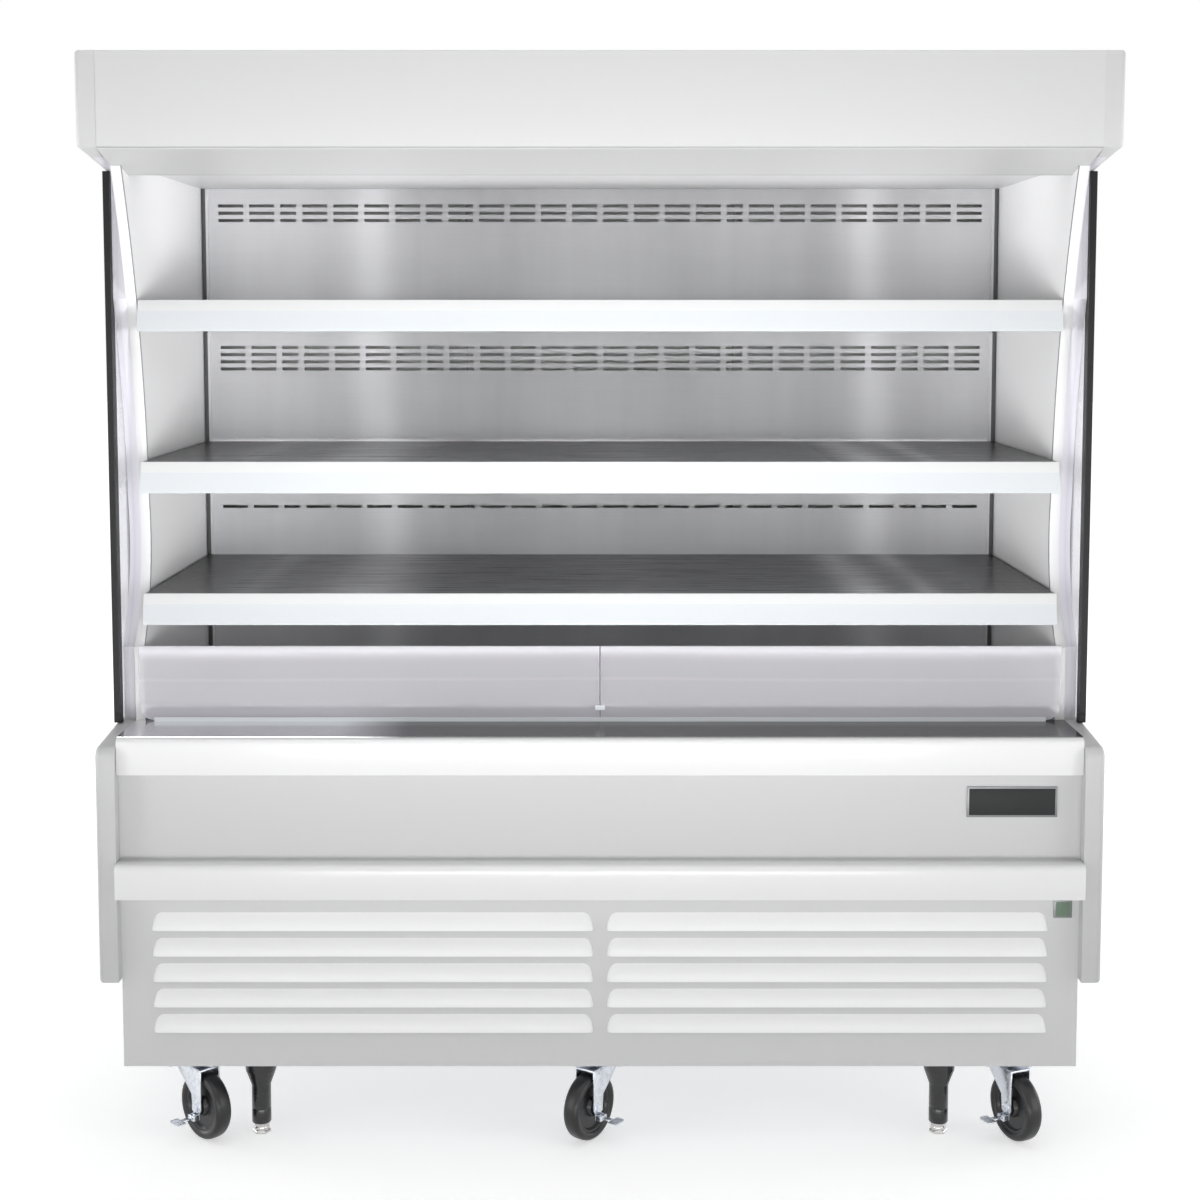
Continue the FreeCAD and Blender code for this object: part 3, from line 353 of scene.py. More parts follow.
def sillPaintedReflection(steel, tone):
    # painted reflection: the sill is painted bright at its left end and dark further on, as if it mirrored a
    # pale room and then a dark one
    x = steel.axis("X")
    return tone * (0.2 + steel.limit((-0.36 - x) / 0.12) * 1.5)


sheetJoints = [("X", -0.2925), ("X", 0.2925)]
rearScrews = (-0.862, -0.308, -0.277, 0.277, 0.308, 0.862)
greyPaint = sheetPaint("panelGreyPaint", (0.60, 0.60, 0.605), 0.42)
# painted light: the louvred base is the same grey as the other lower panels, set lighter to offset the shade
# where it sits back under the bumper
baseBrightenedPaint = sheetPaint("basePanelBrightenedPaint", (0.67, 0.67, 0.675), 0.42)
rearPaint = sheetPaint("rearWallPaint", (0.66, 0.66, 0.665), 0.42, seams=sheetJoints + [("Z", 1.24)],
                       screws=[("X", place, "Z", 0.24) for place in rearScrews])
grillePaint = sheetPaint("rearGrillePaint", (0.60, 0.60, 0.605), 0.42,
                         screws=[("X", place, "Z", 0.18) for place in (-0.866, 0.0, 0.866)])
roofPaint = sheetPaint("roofPaint", (0.69, 0.69, 0.695), 0.4, seams=sheetJoints,
                       screws=[("Y", place, "X", 0.195) for place in (-0.362, 0.424)])
# painted highlight: the hoods are pressed from the same grey sheet as the base, painted near white because
# their faces tilt up to the light
hoodHighlightPaint = sheetPaint("louvreHoodHighlightPaint", (0.95, 0.95, 0.955), 0.34)
ceilingPaint = sheetPaint("ceilingPaint", (0.92, 0.92, 0.925), 0.4, 700.0)
# painted light: the linings' white is set lighter than their own white to offset the shade deep inside the
# cabinet
linerBrightenedPaint = sheetPaint("liningBrightenedPaint", (0.90, 0.90, 0.905), 0.34, 700.0)
bumperGloss = sheetPaint("bumperGlossWhite", (0.85, 0.85, 0.855), 0.2, 240.0,
                         Coat_Weight=0.5, Coat_Roughness=0.08)
railCoat = {"Coat_Weight": 0.3, "Coat_Roughness": 0.1}
railGloss = sheetPaint("ticketRailWhite", (0.67, 0.70, 0.725), 0.24, 400.0, **railCoat)
railBrow = sheetPaint("ticketRailBrow", (0.74, 0.745, 0.75), 0.24, 400.0, **railCoat)


def canopyPaint(name, colour, letter, place, width):
    # painted shade: a soft darker line painted along the fold at one edge
    paint = Finish(name, 0.38)
    fine, tone = powderCoat(paint)[1:]
    line = paint.bell(paint.axis(letter), place, width)
    paint.use("Base Color", paint.shade(colour, tone * (1.0 - line * 0.24)))
    paint.use("Roughness", 0.34 + fine * 0.08)
    paint.bump(fine, paintLook["bump"], 0.5)
    return paint.material


def endPaint():
    # outside white, darker below the glass; the strip behind the glass wing is painted pale violet and
    # lighter, standing in for the light seen through the glass, with a faint painted reflection streak
    paint = Finish("endPanelPaint", 0.38)
    fine, tone = powderCoat(paint)[1:]
    side = paint.magnitude(paint.axis("X"))
    height = paint.axis("Z")
    paintedGlassCast = paint.limit((0.9036 - side) / 0.0004) * paint.limit((height - 0.768) / 0.004)
    paintedGlassCast = paintedGlassCast * paint.limit((1.815 - height) / 0.004) * paint.limit((paint.axis("Y") + 0.372) / 0.004)
    paintedGlassStreak = paint.bell(side, 0.893, 0.002) * 0.06
    lower = paint.limit((0.766 - height) / 0.002)
    colour = paint.between(paintedGlassCast, (0.69, 0.69, 0.695), (0.86, 0.845, 0.91))
    colour = paint.shade(colour, 1.0 - lower * 0.18)
    paint.use("Base Color", paint.shade(colour, tone - paintedGlassStreak * paintedGlassCast))
    paint.use("Roughness", 0.34 + fine * 0.08)
    paint.bump(fine, paintLook["bump"], 0.5)
    return paint.material


# the fascia and valance each carry that painted shade line along a folded edge
fasciaPaint = canopyPaint("fasciaPaint", (0.72, 0.72, 0.725), "Z", 1.8215, 0.0016)
valancePaint = canopyPaint("valancePaint", (0.74, 0.74, 0.745), "Y", deep(148.5) / 1000, 0.0035)
endPanelPaint = endPaint()
backSteel = brushed("backSheetSteel", (0.80, 0.80, 0.82), 0.45, (4.0, 4.0, 1600.0), 0.2, 0.16, paintedSheenBands)
shelfSteel = brushed("shelfSteel", (0.62, 0.62, 0.63), 0.28, (6.0, 500.0, 500.0), 0.25, 0.1, shelfPaintedReflection,
                     Specular_Tint=(0.45, 0.45, 0.46, 1.0), Specular_IOR_Level=0.2)
sillSteel = brushed("sillSteel", (0.5, 0.5, 0.51), 0.2, (4.0, 220.0, 220.0), 0.9, 0.1, sillPaintedReflection)
deckSteel = brushed("deckSteel", (0.55, 0.55, 0.58), 0.3, (5.0, 900.0, 900.0), 0.9, 0.12)
# painted shadow: dark grey for the strip that stands in for the shade at each lining's front fold
edgeShadowGrey = moulded("liningEdgeShadowGrey", (0.22, 0.22, 0.225), 0.4, 900.0)
trimBlack = moulded("glassTrimBlack", (0.012, 0.012, 0.013), 0.4, 900.0, Specular_IOR_Level=0.25)
tyreBlack = moulded("tyreBlack", (0.012, 0.012, 0.013), 0.36, 1100.0)
wheelCoreBlack = moulded("wheelCoreBlack", (0.02, 0.02, 0.022), 0.3, 1500.0)
legBlack = moulded("legBlack", (0.012, 0.012, 0.013), 0.28, 1600.0, Coat_Weight=0.3)
fanPlastic = moulded("fanPlastic", (0.03, 0.03, 0.034), 0.45)
zincPlate = plated("zincPlate", (0.72, 0.75, 0.80), 0.26)
galvanised = plated("galvanisedSheet", (0.55, 0.57, 0.59), 0.4, 70.0)
chrome = plated("footChrome", (0.62, 0.61, 0.6), 0.12, 400.0)
finAluminium = plated("finAluminium", (0.68, 0.69, 0.70), 0.36, 300.0)
plateBlack = moulded("nameplateBlack", (0.02, 0.022, 0.022), 0.5, 2000.0, Specular_IOR_Level=0.25)
plateGreen = moulded("ratingPlateGreen", (0.13, 0.20, 0.14), 0.5, 2000.0)
plateRim = brushed("nameplateRim", (0.22, 0.23, 0.23), 0.4, (600.0, 4.0, 4.0))


def clearSheet(name, colour, clear, rough=0.06):
    sheet = Finish(name, rough, 0.0, IOR=1.49)
    haze = sheet.noise((3.0, 3.0, 9.0), 2.0)
    sheet.use("Base Color", sheet.shade(colour, 0.96 + haze * 0.08))
    sheet.use("Alpha", clear + (haze - 0.5) * 0.08)
    return sheet.material


def guardSheet():
    # painted reflection: pale bands painted along the guard, brightest under its top edge, and a thin darker
    # line painted across it lower down
    sheet = Finish("clearAcrylic", 0.06, IOR=1.49)
    height = sheet.axis("Z")
    sway = height + (sheet.noise((1.3, 1.3, 1.3), 1.0) - 0.5) * 0.012
    paintedBands = sheet.bell(sway, 0.902, 0.011) * 0.9 + sheet.limit((0.800 - sway) / 0.014) * 0.5
    paintedDarkLine = sheet.bell(sway, 0.846, 0.0022)
    tone = 0.90 + sheet.limit(paintedBands) * 0.22 - paintedDarkLine * 0.22
    sheet.use("Base Color", sheet.shade((0.62, 0.61, 0.655), tone))
    sheet.use("Alpha", 0.44 + sheet.limit(paintedBands) * 0.3 + paintedDarkLine * 0.2)
    return sheet.material


clearAcrylic = guardSheet()
# painted highlight: the guard's polished edges are the same acrylic, painted paler and less clear for the
# light they catch
acrylicEdgeHighlight = clearSheet("acrylicEdgeHighlight", (0.86, 0.86, 0.92), 0.8, 0.2)
temperedGlass = clearSheet("temperedGlass", (0.74, 0.74, 0.80), 0.4)

cadFinishes = {
    "base_frame": galvanised, "base_pan": galvanised, "machine_side_left": greyPaint,
    "machine_side_right": greyPaint, "louvre_panel": baseBrightenedPaint, "rear_grille": grillePaint,
    "insulated_tub": linerBrightenedPaint, "rear_wall": rearPaint, "roof_panel": roofPaint,
    "end_panel_left": endPanelPaint, "end_panel_right": endPanelPaint, "side_glass_left": temperedGlass,
    "side_glass_right": temperedGlass, "glass_trims": trimBlack, "side_liner_left": linerBrightenedPaint,
    "side_liner_right": linerBrightenedPaint, "front_panel": greyPaint, "bumper_lower": bumperGloss,
    "bumper_upper": bumperGloss, "sill_cap": sillSteel, "front_guard": clearAcrylic,
    "guard_fittings": railGloss, "canopy_fascia": fasciaPaint, "canopy_valance": valancePaint,
    "ceiling_panel": ceilingPaint, "air_honeycomb": linerBrightenedPaint, "inner_back_panel": backSteel,
    "shelf_1": shelfSteel, "shelf_2": shelfSteel, "shelf_3": shelfSteel, "price_rail_1": railGloss,
    "price_rail_2": railGloss, "price_rail_3": railGloss, "deck_pan": deckSteel,
    "return_air_grille": deckSteel, "evaporator_unit": finAluminium, "condensing_unit": galvanised,
    "caster_plates": zincPlate, "leg_sleeves": legBlack, "evaporator_fan_left": fanPlastic,
    "evaporator_fan_right": fanPlastic, "condenser_fan": fanPlastic, "leg_foot_left": chrome,
    "leg_foot_right": chrome,
}
for number in range(1, 7):
    cadFinishes["caster_fork_%d" % number] = zincPlate
    cadFinishes["caster_wheel_%d" % number] = tyreBlack
for number in range(1, 4):
    cadFinishes["brake_pedal_%d" % number] = zincPlate
for name, finish in cadFinishes.items():
    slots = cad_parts[name].data.materials
    slots.clear()
    slots.append(finish)
print("finishes", len(bpy.data.materials))

softEdges = {
    "roof_panel": 2.0, "rear_wall": 2.0, "canopy_fascia": 1.6, "canopy_valance": 0.8, "front_panel": 0.6,
    "end_panel_left": 5.0, "end_panel_right": 5.0, "machine_side_left": 0.6, "machine_side_right": 0.6,
    "side_liner_left": 0.7, "side_liner_right": 0.7, "glass_trims": 1.2, "sill_cap": 0.3, "deck_pan": 0.5,
    "shelf_1": 0.4, "shelf_2": 0.4, "shelf_3": 0.4, "base_frame": 1.5, "condensing_unit": 1.0,
    "evaporator_unit": 0.5, "rear_grille": 0.5,
}
for name, width in softEdges.items():
    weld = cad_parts[name].modifiers.new("weld", "WELD")
    weld.merge_threshold = 0.00001
    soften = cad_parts[name].modifiers.new("softEdge", "BEVEL")
    soften.width = width / 1000
    soften.segments = 3
    soften.limit_method = "ANGLE"
    soften.angle_limit = math.radians(40)

# bumpers: folded gloss rails, rounded on top

bumpers = {
    "bumperLower": {"node": "bumper_lower", "front": 10.0, "low": 475.0, "high": 539.0},
    "bumperUpper": {"node": "bumper_upper", "front": 40.0, "low": 697.0, "high": 765.0},
}
bumperShape = {"half": 878.0, "bend": 11.5, "edge": 1.6}
for name, size in bumpers.items():
    mesh = startMesh()
    near, far = deep(size["front"]), deep(skinFront)
    outline = [(near, size["low"]), (far, size["low"]), (far, size["high"]), (near, size["high"])]
    span = (-bumperShape["half"], bumperShape["half"])
    addPrism(mesh, outline, span, radius=bumperShape["bend"], steps=6, corners=(3,))
    rim = {edge for edge in mesh.edges if edge.calc_face_angle(0) > 0.6}
    roundEdges(mesh, rim, bumperShape["edge"], 2)
    finishPiece(mesh, name, [bumperGloss], "cabinet", (size["node"],), sharp=50)
print("bumpers")

# louvred front of the machine base

louvres = {
    "half": 878.5, "low": 148.0, "high": 475.0, "sheet": 2.0, "lip": 18.0, "lipInset": 2.4,
    "centre": 417.0, "length": 808.0, "height": 32.5, "pitch": 47.9, "rows": 5, "first": 36.0,
    "throw": 9.0, "end": 20.0, "overlap": 1.0, "wall": 1.2, "grid": (34, 7),
}


def addHood(mesh, size, centre, top):
    # one pressed hood with rounded ends: a sheet drawn out along its lower edge, open underneath
    across, up = size["grid"]
    half, low = size["length"] / 2, top - size["height"]
    face = deep(skinFront)
    flat = Matrix.Translation((0, face, 0)) @ Matrix.Rotation(math.radians(90), 4, "X")
    made = bmesh.ops.create_grid(mesh, x_segments=across, y_segments=up, size=1.0, matrix=flat)
    for vert in made["verts"]:
        column = round((vert.co.x + 1) / 2 * across)
        row = round((vert.co.z + 1) / 2 * up)
        inward = min(column, across - column)
        share = max(0.0, 1.0 - inward / (across / 2 - 1))
        sign = 1 if column * 2 > across else -1
        bulge = math.sqrt(max(0.0, 1.0 - share ** 2.4)) if inward else 0.12
        fall = min(1.0, row / (up - 1))
        vert.co.x = centre + sign * (half - size["end"] * (1 - share) if inward < across / 2 else 0)
        vert.co.z = top + size["overlap"] if row == up else low + size["height"] * bulge * fall
        swell = bulge ** 0.5 if inward else 0.0
        vert.co.y = face - size["throw"] * swell * math.sin(math.pi / 2 * (1 - fall)) ** 0.9
    faces = facesOf(made["verts"])
    # faces drawn proud of the sheet take the second finish, the painted highlight
    for sheet in faces:
        sheet.material_index = 1 if min(vert.co.y for vert in sheet.verts) < face - 0.3 else 0
    bmesh.ops.recalc_face_normals(mesh, faces=faces)
    if sum(sheet.normal.y for sheet in faces) > 0:
        bmesh.ops.reverse_faces(mesh, faces=faces)
    bmesh.ops.solidify(mesh, geom=faces, thickness=size["wall"])


mesh = startMesh()
face, back = deep(skinFront), deep(skinFront + louvres["sheet"])
width = (-louvres["half"], louvres["half"])
inner = louvres["centre"] - louvres["length"] / 2
outer = louvres["centre"] + louvres["length"] / 2
level = louvres["high"]
for row in range(louvres["rows"]):
    top = louvres["high"] - louvres["first"] - row * louvres["pitch"]
    addBlock(mesh, width, (face, back), (top + louvres["overlap"], level))
    level = top - louvres["height"]
    for span in ((width[0], -outer), (-inner, inner), (outer, width[1])):
        addBlock(mesh, span, (face, back), (level, top + louvres["overlap"]))
    for side in (-1, 1):
        addHood(mesh, louvres, side * louvres["centre"], top)
addBlock(mesh, width, (face, back), (louvres["low"], level))
lip = (width[0] + louvres["lipInset"], width[1] - louvres["lipInset"])
for low in (louvres["low"], louvres["high"] - louvres["sheet"]):
    addBlock(mesh, lip, (back, back + louvres["lip"]), (low, low + louvres["sheet"]))
finishPiece(mesh, "louvreFront", [baseBrightenedPaint, hoodHighlightPaint], "cabinet", ("louvre_panel",), sharp=40)
print("louvres")

# painted shadow: a dark grey strip along the front edge of each side lining, put where the lining's fold
# casts its shade

lining = {"face": 860.0, "top": (92.0, 1796.9), "upper": (208.0, 1485.0), "waist": (255.0, 1180.0),
          "lower": (246.0, 1006.5), "foot": (194.0, 905.0), "low": 768.0}
edgeShadow = {"front": 0.4, "back": 3.6, "proud": 1.2, "sunk": 0.4}


def arcPoints(first, middle, last, steps):
    # points along the arc through three points
    (ax, ay), (bx, by), (cx, cy) = first, middle, last
    aa, bb, cc = ax * ax + ay * ay, bx * bx + by * by, cx * cx + cy * cy
    span = 2 * (ax * (by - cy) + bx * (cy - ay) + cx * (ay - by))
    ux = (aa * (by - cy) + bb * (cy - ay) + cc * (ay - by)) / span
    uy = (aa * (cx - bx) + bb * (ax - cx) + cc * (bx - ax)) / span
    radius = math.hypot(ax - ux, ay - uy)
    begin, end = math.atan2(ay - uy, ax - ux), math.atan2(cy - uy, cx - ux)
    turn = (end - begin + math.pi) % math.tau - math.pi
    angles = [begin + turn * step / steps for step in range(steps + 1)]
    return [(ux + radius * math.cos(angle), uy + radius * math.sin(angle)) for angle in angles]


curve = arcPoints(lining["top"], lining["upper"], lining["waist"], 24)
curve += arcPoints(lining["waist"], lining["lower"], lining["foot"], 12)[1:]
curve.append((lining["foot"][0], lining["low"]))
for name, side in (("left", -1), ("right", 1)):
    mesh = startMesh()
    outline = [(deep(reach + edgeShadow["front"]), z) for reach, z in curve]
    outline += [(deep(reach + edgeShadow["back"]), z) for reach, z in reversed(curve)]
    ends = sorted((side * (lining["face"] - edgeShadow["proud"]), side * (lining["face"] + edgeShadow["sunk"])))
    addPrism(mesh, outline, ends)
    finishPiece(mesh, "liningEdgeShadow" + name.capitalize(), [edgeShadowGrey], "cabinet")
print("lining edge shadows")

# foot of each black glass trim

trimFoot = {"inner": 902.0, "toe": 898.5, "outer": 913.6, "high": 784.0, "low": 766.0,
            "front": 172.5, "back": 187.0, "edge": 0.8}
mesh = startMesh()
for side in (-1, 1):
    corners = [("inner", "high"), ("outer", "high"), ("outer", "low"), ("toe", "low")]
    outline = [(side * trimFoot[x], trimFoot[z]) for x, z in corners]
    span = (deep(trimFoot["front"]), deep(trimFoot["back"]))
    addPrism(mesh, outline, span, across="Y", radius=trimFoot["edge"], steps=2)
finishPiece(mesh, "trimFeet", [trimBlack], "cabinet")

# ticket rails on the shelf fronts

rails = {"half": 857.0, "front": 175.0, "lean": 12.0, "wall": 3.0, "high": 55.0, "toe": 11.0, "skirt": 25.0,
         "brow": 0.36, "fold": 0.5, "edge": 0.6, "levels": (1558.0, 1257.0, 1009.0)}
wall, toe, skirt = rails["wall"], rails["toe"], rails["skirt"]
for number, top in enumerate(rails["levels"], start=1):
    mesh = startMesh()
    back = deep(rails["front"] + rails["lean"] + wall)
    face = deep(rails["front"])
    foot = top - rails["high"]
    drop = rails["brow"]
    fold = (back - wall + (face - back + wall) * drop - rails["fold"], top - rails["high"] * drop)
    outline = [(back, top), (back - wall, top), fold, (face, foot), (face, foot - wall),
               (face + toe, foot - wall), (face + toe, foot), (face + wall, foot),
               (back - wall, top - skirt), (back, top - skirt)]
    addPrism(mesh, outline, (-rails["half"], rails["half"]), radius=rails["edge"], steps=2)
    for sheet in mesh.faces:
        if sheet.calc_center_median().z > fold[1]:
            sheet.material_index = 1
    finishPiece(mesh, "ticketRail%d" % number, [railGloss, railBrow], "cabinet",
                ("price_rail_%d" % number,))
print("ticket rails")

# clear guard in two halves with polished edges

guard = {"half": 868.0, "middle": 1.0, "low": 768.5, "high": 909.5, "front": 183.0, "thick": 6.0,
         "corner": 28.0, "edge": 0.7}
mesh = startMesh()
for side in (-1, 1):
    inner, outer = side * guard["middle"], side * guard["half"]
    outline = [(inner, guard["low"]), (outer, guard["low"]), (outer, guard["high"]), (inner, guard["high"])]
    span = (deep(guard["front"]), deep(guard["front"] + guard["thick"]))
    addPrism(mesh, outline, span, across="Y", radius=guard["corner"], steps=8, corners=(1,))
edges = {edge for edge in mesh.edges if edge.calc_face_angle(0) > 1.2}
roundEdges(mesh, edges, guard["edge"], 1)
# the edge faces take the painted highlight finish
for face in mesh.faces:
    if abs(face.normal.y) < 0.95:
        face.material_index = 1
finishPiece(mesh, "frontGuard", [clearAcrylic, acrylicEdgeHighlight], "cabinet", ("front_guard",),
            sharp=25)
print("front guard")

# bare plates

plates = {
    "nameplate": {"x": (669.0, 834.0), "z": (617.0, 674.0), "rim": 4.0, "face": plateBlack},
    "ratingPlate": {"x": (831.0, 865.0), "z": (429.0, 463.0), "rim": 4.0, "face": plateGreen},
}
plateDepth = {"rimFront": 2.0, "rimBack": 0.2, "faceFront": 2.8, "faceBack": 1.5}
for name, size in plates.items():
    mesh = startMesh()
    (x0, x1), (z0, z1), rim = size["x"], size["z"], size["rim"]
    face = deep(skinFront)
    rimSpan = (face - plateDepth["rimFront"], face + plateDepth["rimBack"])
    faceSpan = (face - plateDepth["faceFront"], face - plateDepth["faceBack"])
    addBlock(mesh, (x0, x1), rimSpan, (z0, z1), 0.8, 2, 1)
    addBlock(mesh, (x0 + rim, x1 - rim), faceSpan, (z0 + rim, z1 - rim), 0.5, 2, 0)
    finishPiece(mesh, name, [size["face"], plateRim], "cabinet")
print("plates")

# pan-head screws of the machine base sides
baseScrews = {"reach": (96.0, 470.0, 846.0), "level": (172.0, 292.0), "face": 878.5,
              "radius": 4.6, "high": 2.2}
mesh = startMesh()
for side in (-1, 1):
    for reach in baseScrews["reach"]:
        for level in baseScrews["level"]:
            radius, high = baseScrews["radius"], baseScrews["high"]
            dome = [(0, -0.3), (radius, -0.3), (radius, high * 0.35), (radius * 0.8, high * 0.8), (1.6, high),
                    (1.2, high * 0.5), (0, high * 0.5)]
            addSpin(mesh, dome, (side * baseScrews["face"], deep(reach), level), (side, 0, 0), 20)
finishPiece(mesh, "baseScrews", [zincPlate], "cabinet")
print("base screws")

# casters

caster = {
    "places": [(-760.0, -334.5, 46.0), (0.0, -334.5, -36.0), (760.0, -334.5, 24.0),
               (-760.0, 334.5, 150.0), (0.0, 334.5, 172.0), (760.0, 334.5, 205.0)],
    "brakes": (-1, 1, -1, 0, 0, 0),
    "wheel": 62.5, "width": 32.0, "trail": 35.0, "inner": 19.0, "outer": 22.0,
    "crownLow": 128.0, "crownHigh": 136.7, "raceHigh": 142.7, "pin": 46.5, "pinAside": 7.5,
    "nose": 24.0, "heel": 14.0, "turns": 72,
}


def casterPlace(spot):
    x, y, turn = spot
    return Matrix.Translation((x, y, 0)) @ Matrix.Rotation(math.radians(turn - 90.0), 4, "Z")


def addWheel(mesh, size):
    half, radius = size["width"] / 2, size["wheel"]
    hub = (size["trail"], 0.0, radius)
    tyre = [(radius - 16, half - 4), (radius - 13, half - 1), (radius - 8, half), (radius - 4, half - 1),
            (radius - 1, half - 5), (radius - 0.1, half - 10), (radius, 0)]
    tyre += [(ring, -place) for ring, place in reversed(tyre[:-1])]
    addSpin(mesh, tyre, hub, (0, 1, 0), size["turns"], 0, ring=True)
    core = [(6.3, half - 1), (15, half - 1), (17, half - 3), (19, half - 8), (40, half - 9), (43, half - 5),
            (radius - 15.5, half - 4.2)]
    core += [(ring, -place) for ring, place in reversed(core)]
    addSpin(mesh, core, hub, (0, 1, 0), size["turns"], 1, ring=True)


def addFork(mesh, size, brake):
    trail, wheel, inner, outer = size["trail"], size["wheel"], size["inner"], size["outer"]
    low, high, nose, heel = size["crownLow"], size["crownHigh"], size["nose"], size["heel"]
    addBlock(mesh, (-nose, trail + heel), (-outer, outer), (low + 3, high), 2.2, 3)
    washer = [(0, 0), (10.5, 0), (10.5, 0.8), (9, 1.2), (0, 1.2)]
    for side in (-1, 1):
        outline = [(-nose, high - 1), (trail + heel, high - 1), (trail + heel, wheel - 3),
                   (trail + 9, wheel - 11), (trail, wheel - heel), (trail - 9, wheel - 11),
                   (trail - heel, wheel - 3), (trail - 16, wheel + 22), (-nose, low - 4)]
        span = sorted((side * inner, side * outer))
        addPrism(mesh, outline, span, across="Y", radius=0.9, steps=2)
        addSpin(mesh, washer, (trail, side * outer, wheel), (0, side, 0), 32)
        addHexHead(mesh, (trail, side * (outer + 1.0), wheel), (0, side, 0), 8.6, 4.0)
    axle = [(0, -inner), (6.0, -inner), (6.0, inner), (0, inner)]
    addSpin(mesh, axle, (trail, 0, wheel), (0, 1, 0), 32)
    race = [(0, high - 0.5), (20.5, high - 0.5), (21, high + 0.4), (21, high + 1.6), (19.4, high + 2.3),
            (19.4, high + 3.4), (21, high + 4.2), (21, high + 5.2), (20.2, size["raceHigh"] - 0.1),
            (0, size["raceHigh"] - 0.1)]
    addSpin(mesh, race, (0, 0, 0), (0, 0, 1), 48)
    if brake:
        pin, level = outer + size["pinAside"], size["pin"]
        for start in (-9.0, 5.9):
            ends = sorted((brake * (outer - 0.5), brake * (pin + 5)))
            addBlock(mesh, (trail + start, trail + start + 3.0), ends, (level - 5, level + 5), 0.8, 2)
        ends = sorted((brake * inner, brake * outer))
        addBlock(mesh, (trail - 9, trail + 9), ends, (level - 5, wheel - 4), 0.6, 1)
        rod = [(0, -9.4), (2.5, -9.4), (2.5, 9.4), (0, 9.4)]
        addSpin(mesh, rod, (trail, brake * pin, level), (1, 0, 0), 20)


def addPedal(mesh, size, brake):
    trail, level = size["trail"], size["pin"]
    pin = size["outer"] + size["pinAside"]
    addBlock(mesh, (trail - 5.4, trail + 5.4), sorted((brake * (pin - 4.9), brake * (pin + 4.9))),
             (level - 4.9, level + 4.9), 1.6, 3)
    addBlock(mesh, (trail - 5.4, trail + 5.4), sorted((brake * (pin + 3), brake * (pin + 26))),
             (level - 1.5, level + 1.5), 0.7, 2)
    tread = [(-15, 24.2), (15, 24.2), (15, 42), (-15, 42)]
    outline = [(trail + x, brake * (pin + y)) for x, y in tread]
    addPrism(mesh, outline, (level - 1.5, level + 1.3), across="Z", radius=5.0, steps=5, corners=(2, 3))
    for ridge in range(4):
        middle = brake * (pin + 27.6 + ridge * 3.7)
        ridgeSpan = (middle - 0.7, middle + 0.7)
        addBlock(mesh, (trail - 11, trail + 11), ridgeSpan, (level + 1.0, level + 1.5), 0.2, 1)


for number, (spot, brake) in enumerate(zip(caster["places"], caster["brakes"]), start=1):
    place = casterPlace(spot)
    mesh = startMesh()
    addWheel(mesh, caster)
    finishPiece(mesh, "casterWheel%d" % number, [tyreBlack, wheelCoreBlack], "caster_wheel_%d" % number,
                ("caster_wheel_%d" % number,), place, 40)
    mesh = startMesh()
    addFork(mesh, caster, brake)
    finishPiece(mesh, "casterFork%d" % number, [zincPlate], "caster_fork_%d" % number,
                ("caster_fork_%d" % number,), place)
    if brake:
        mesh = startMesh()
        addPedal(mesh, caster, brake)
        finishPiece(mesh, "brakePedal%d" % number, [zincPlate], "brake_pedal_%d" % number,
                    ("brake_pedal_%d" % number,), place)
topPlate = {"halfWide": 50, "halfDeep": 43, "low": 143.0, "high": 148.0, "boltAcross": 38, "boltAlong": 32,
            "boltTop": 143.3, "boltRadius": 7.0, "boltHeight": 4.5}
mesh = startMesh()
for x, y, turn in caster["places"]:
    wide, far = topPlate["halfWide"], topPlate["halfDeep"]
    addBlock(mesh, (x - wide, x + wide), (y - far, y + far), (topPlate["low"], topPlate["high"]), 1.2, 2)
    for across in (-topPlate["boltAcross"], topPlate["boltAcross"]):
        for along in (-topPlate["boltAlong"], topPlate["boltAlong"]):
            bolt = (x + across, y + along, topPlate["boltTop"])
            addHexHead(mesh, bolt, (0, 0, -1), topPlate["boltRadius"], topPlate["boltHeight"])
finishPiece(mesh, "casterPlates", [zincPlate], "cabinet", ("caster_plates",))
print("casters")

# levelling legs

leg = {
    "x": 636.0, "y": -334.5, "padRadius": 17.0, "padHeight": 5.0,
    "sleeve": [(14.05, 20.0), (17.0, 20.0), (18.0, 21.5), (18.0, 46.0), (17.5, 47.0), (17.5, 49.0),
               (18.0, 50.0), (18.0, 90.0), (18.7, 94.5), (28.2, 120.5), (29.0, 123.5), (29.0, 147.0),
               (28.0, 148.0), (14.05, 148.0)],
    "stem": [(0, 4.5), (13.2, 4.5), (14.0, 5.5), (14.0, 12.0), (13.4, 12.8), (14.0, 13.6), (14.0, 89.2),
             (13.2, 90.0), (0, 90.0)],
}
mesh = startMesh()
for side in (-1, 1):
    addSpin(mesh, leg["sleeve"], (side * leg["x"], leg["y"], 0), (0, 0, 1), 48, ring=True)
finishPiece(mesh, "legSleeves", [legBlack], "cabinet", ("leg_sleeves",), sharp=40)
for name, side in (("left", -1), ("right", 1)):
    mesh = startMesh()
    middle = (side * leg["x"], leg["y"], 0)
    addSpin(mesh, leg["stem"], middle, (0, 0, 1), 48)
    addHexHead(mesh, middle, (0, 0, 1), leg["padRadius"], leg["padHeight"])
    finishPiece(mesh, "legFoot" + name.capitalize(), [chrome], "leg_foot_" + name,
                ("leg_foot_" + name,), sharp=40)
print("legs")

# floor, light and camera

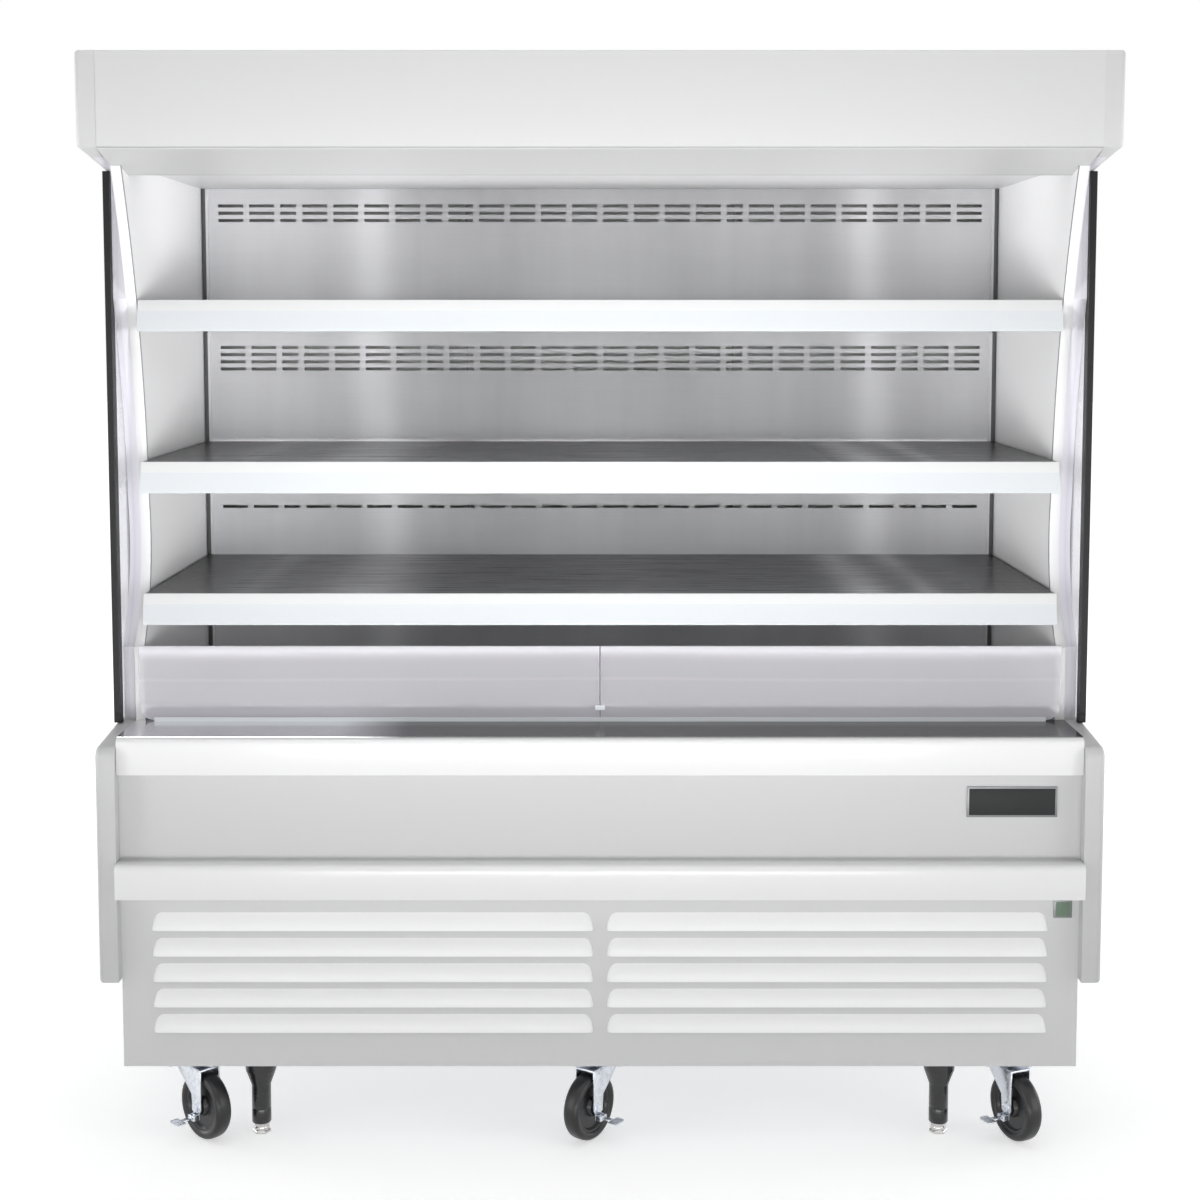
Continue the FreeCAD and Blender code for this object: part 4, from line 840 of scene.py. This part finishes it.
def stageFinish():
    stage = Finish("studioFloor", 0.9)
    shade = stage.noise((0.2, 0.2, 0.2), 1.0)
    stage.use("Base Color", stage.shade((0.8, 0.8, 0.8), 0.99 + shade * 0.01))
    ray = stage.tree.nodes.new("ShaderNodeLightPath")
    seen = [Value(stage, ray.outputs[name]) for name in
            ("Is Camera Ray", "Is Glossy Ray", "Is Transmission Ray")]
    stage.shader.inputs["Emission Strength"].default_value = 1.0
    aside = stage.node("ShaderNodeVectorMath", {"operation": "LENGTH"}, (stage.place,), "Value")
    far = stage.limit((aside - 1.6) / 3.5)
    glow = stage.limit(seen[0] + seen[1] + seen[2]) * (0.5 + far * 0.35)
    stage.use("Emission Color", stage.shade((1.0, 1.0, 1.0), glow))
    return stage.material


bpy.ops.mesh.primitive_plane_add(size=60, location=(0, 0, -0.0005))
floor = bpy.context.object
floor.name = "studioFloorPlane"
floor.data.materials.append(stageFinish())
floor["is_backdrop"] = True


def studioWorld(level):
    world = bpy.data.worlds.new("studioWorld")
    world.use_nodes = True
    backdrop = world.node_tree.nodes["Background"]
    backdrop.inputs["Color"].default_value = (1, 1, 1, 1)
    ray = world.node_tree.nodes.new("ShaderNodeLightPath")
    total = None
    for name in ("Is Camera Ray", "Is Glossy Ray", "Is Transmission Ray"):
        most = world.node_tree.nodes.new("ShaderNodeMath")
        most.operation = "MAXIMUM"
        most.inputs[1].default_value = level
        world.node_tree.links.new(ray.outputs[name], most.inputs[0])
        if total is not None:
            world.node_tree.links.new(total, most.inputs[1])
        total = most.outputs[0]
    world.node_tree.links.new(total, backdrop.inputs["Strength"])
    return world


scene.world = studioWorld(0.34)


def hang(lamp, place, aim):
    holder = bpy.data.objects.new(lamp.name, lamp)
    holder.location = place
    holder.rotation_euler = (Vector(aim) - Vector(place)).to_track_quat("-Z", "Y").to_euler()
    scene.collection.objects.link(holder)


ceilingReach = deep(430.0) / 1000
lamps = {
    "leftLamp": ((-4.6, -2.5, 1.4), (0.3, -0.1, 1.15), (2.4, 2.6), 36.0),
    "rightLamp": ((4.6, -2.5, 1.4), (-0.3, -0.1, 1.15), (2.4, 2.6), 36.0),
    "lowLamp": ((0.0, -3.4, 0.1), (0, -2.5, 2.6), (3.6, 1.2), 62.0),
    "baseLamp": ((0.0, -3.0, 0.3), (0, -0.4, 0.12), (3.6, 0.4), 9.0),
    "topLamp": ((0.0, -1.0, 4.4), (0, 0, 0.5), (4.0, 2.5), 24.0),
    "leftSideLamp": ((-4.2, 1.2, 1.3), (-0.9, 0.1, 1.0), (2.0, 2.4), 34.0),
    "rightSideLamp": ((4.2, 1.2, 1.3), (0.9, 0.1, 1.0), (2.0, 2.4), 34.0),
    "rearLamp": ((0.0, 4.6, 1.5), (0.0, 0.4, 1.0), (3.4, 2.4), 62.0),
    "ceilingLamp": ((0.0, ceilingReach, 1.64), (0.0, ceilingReach, 1.8), (1.5, 0.4), 1.2),
}
for name, (place, aim, size, power) in lamps.items():
    lamp = bpy.data.lights.new(name, "AREA")
    lamp.shape = "RECTANGLE"
    lamp.size, lamp.size_y = size
    lamp.energy = power
    hang(lamp, place, aim)

# narrow beams through the open front, onto the linings and the back sheet
beams = {
    "leftBeam": ((-4.6, -2.5, 1.05), (0.86, -0.02, 1.36), 17.0, 900.0),
    "rightBeam": ((4.6, -2.5, 1.05), (-0.86, -0.02, 1.36), 17.0, 900.0),
    "middleBeamLeft": ((-0.3, -4.9, 1.27), (-0.62, 0.33, 1.25), 11.5, 190.0),
    "middleBeam": ((0.0, -4.9, 1.27), (0.0, 0.33, 1.25), 11.5, 190.0),
    "middleBeamRight": ((0.3, -4.9, 1.27), (0.62, 0.33, 1.25), 11.5, 190.0),
}
for name, (place, aim, spread, power) in beams.items():
    beam = bpy.data.lights.new(name, "SPOT")
    beam.energy = power
    beam.spot_size = math.radians(spread)
    beam.spot_blend = 1.0
    beam.shadow_soft_size = 0.5
    hang(beam, place, aim)

view = {"away": 3.3, "height": 1.527, "tilt": 4.8, "lens": 56.2, "sensor": 36.0, "shift": -0.105}
camera = bpy.data.cameras.new("camera")
camera.lens = view["lens"]
camera.sensor_width = view["sensor"]
camera.shift_y = view["shift"]
holder = bpy.data.objects.new("camera", camera)
holder.location = (0.0, canopyFront / 1000 - view["away"], view["height"])
holder.rotation_euler = (math.radians(90.0 - view["tilt"]), 0, 0)
scene.collection.objects.link(holder)
scene.camera = holder
scene.view_settings.view_transform = "Standard"
print("camera and light")

low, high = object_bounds()
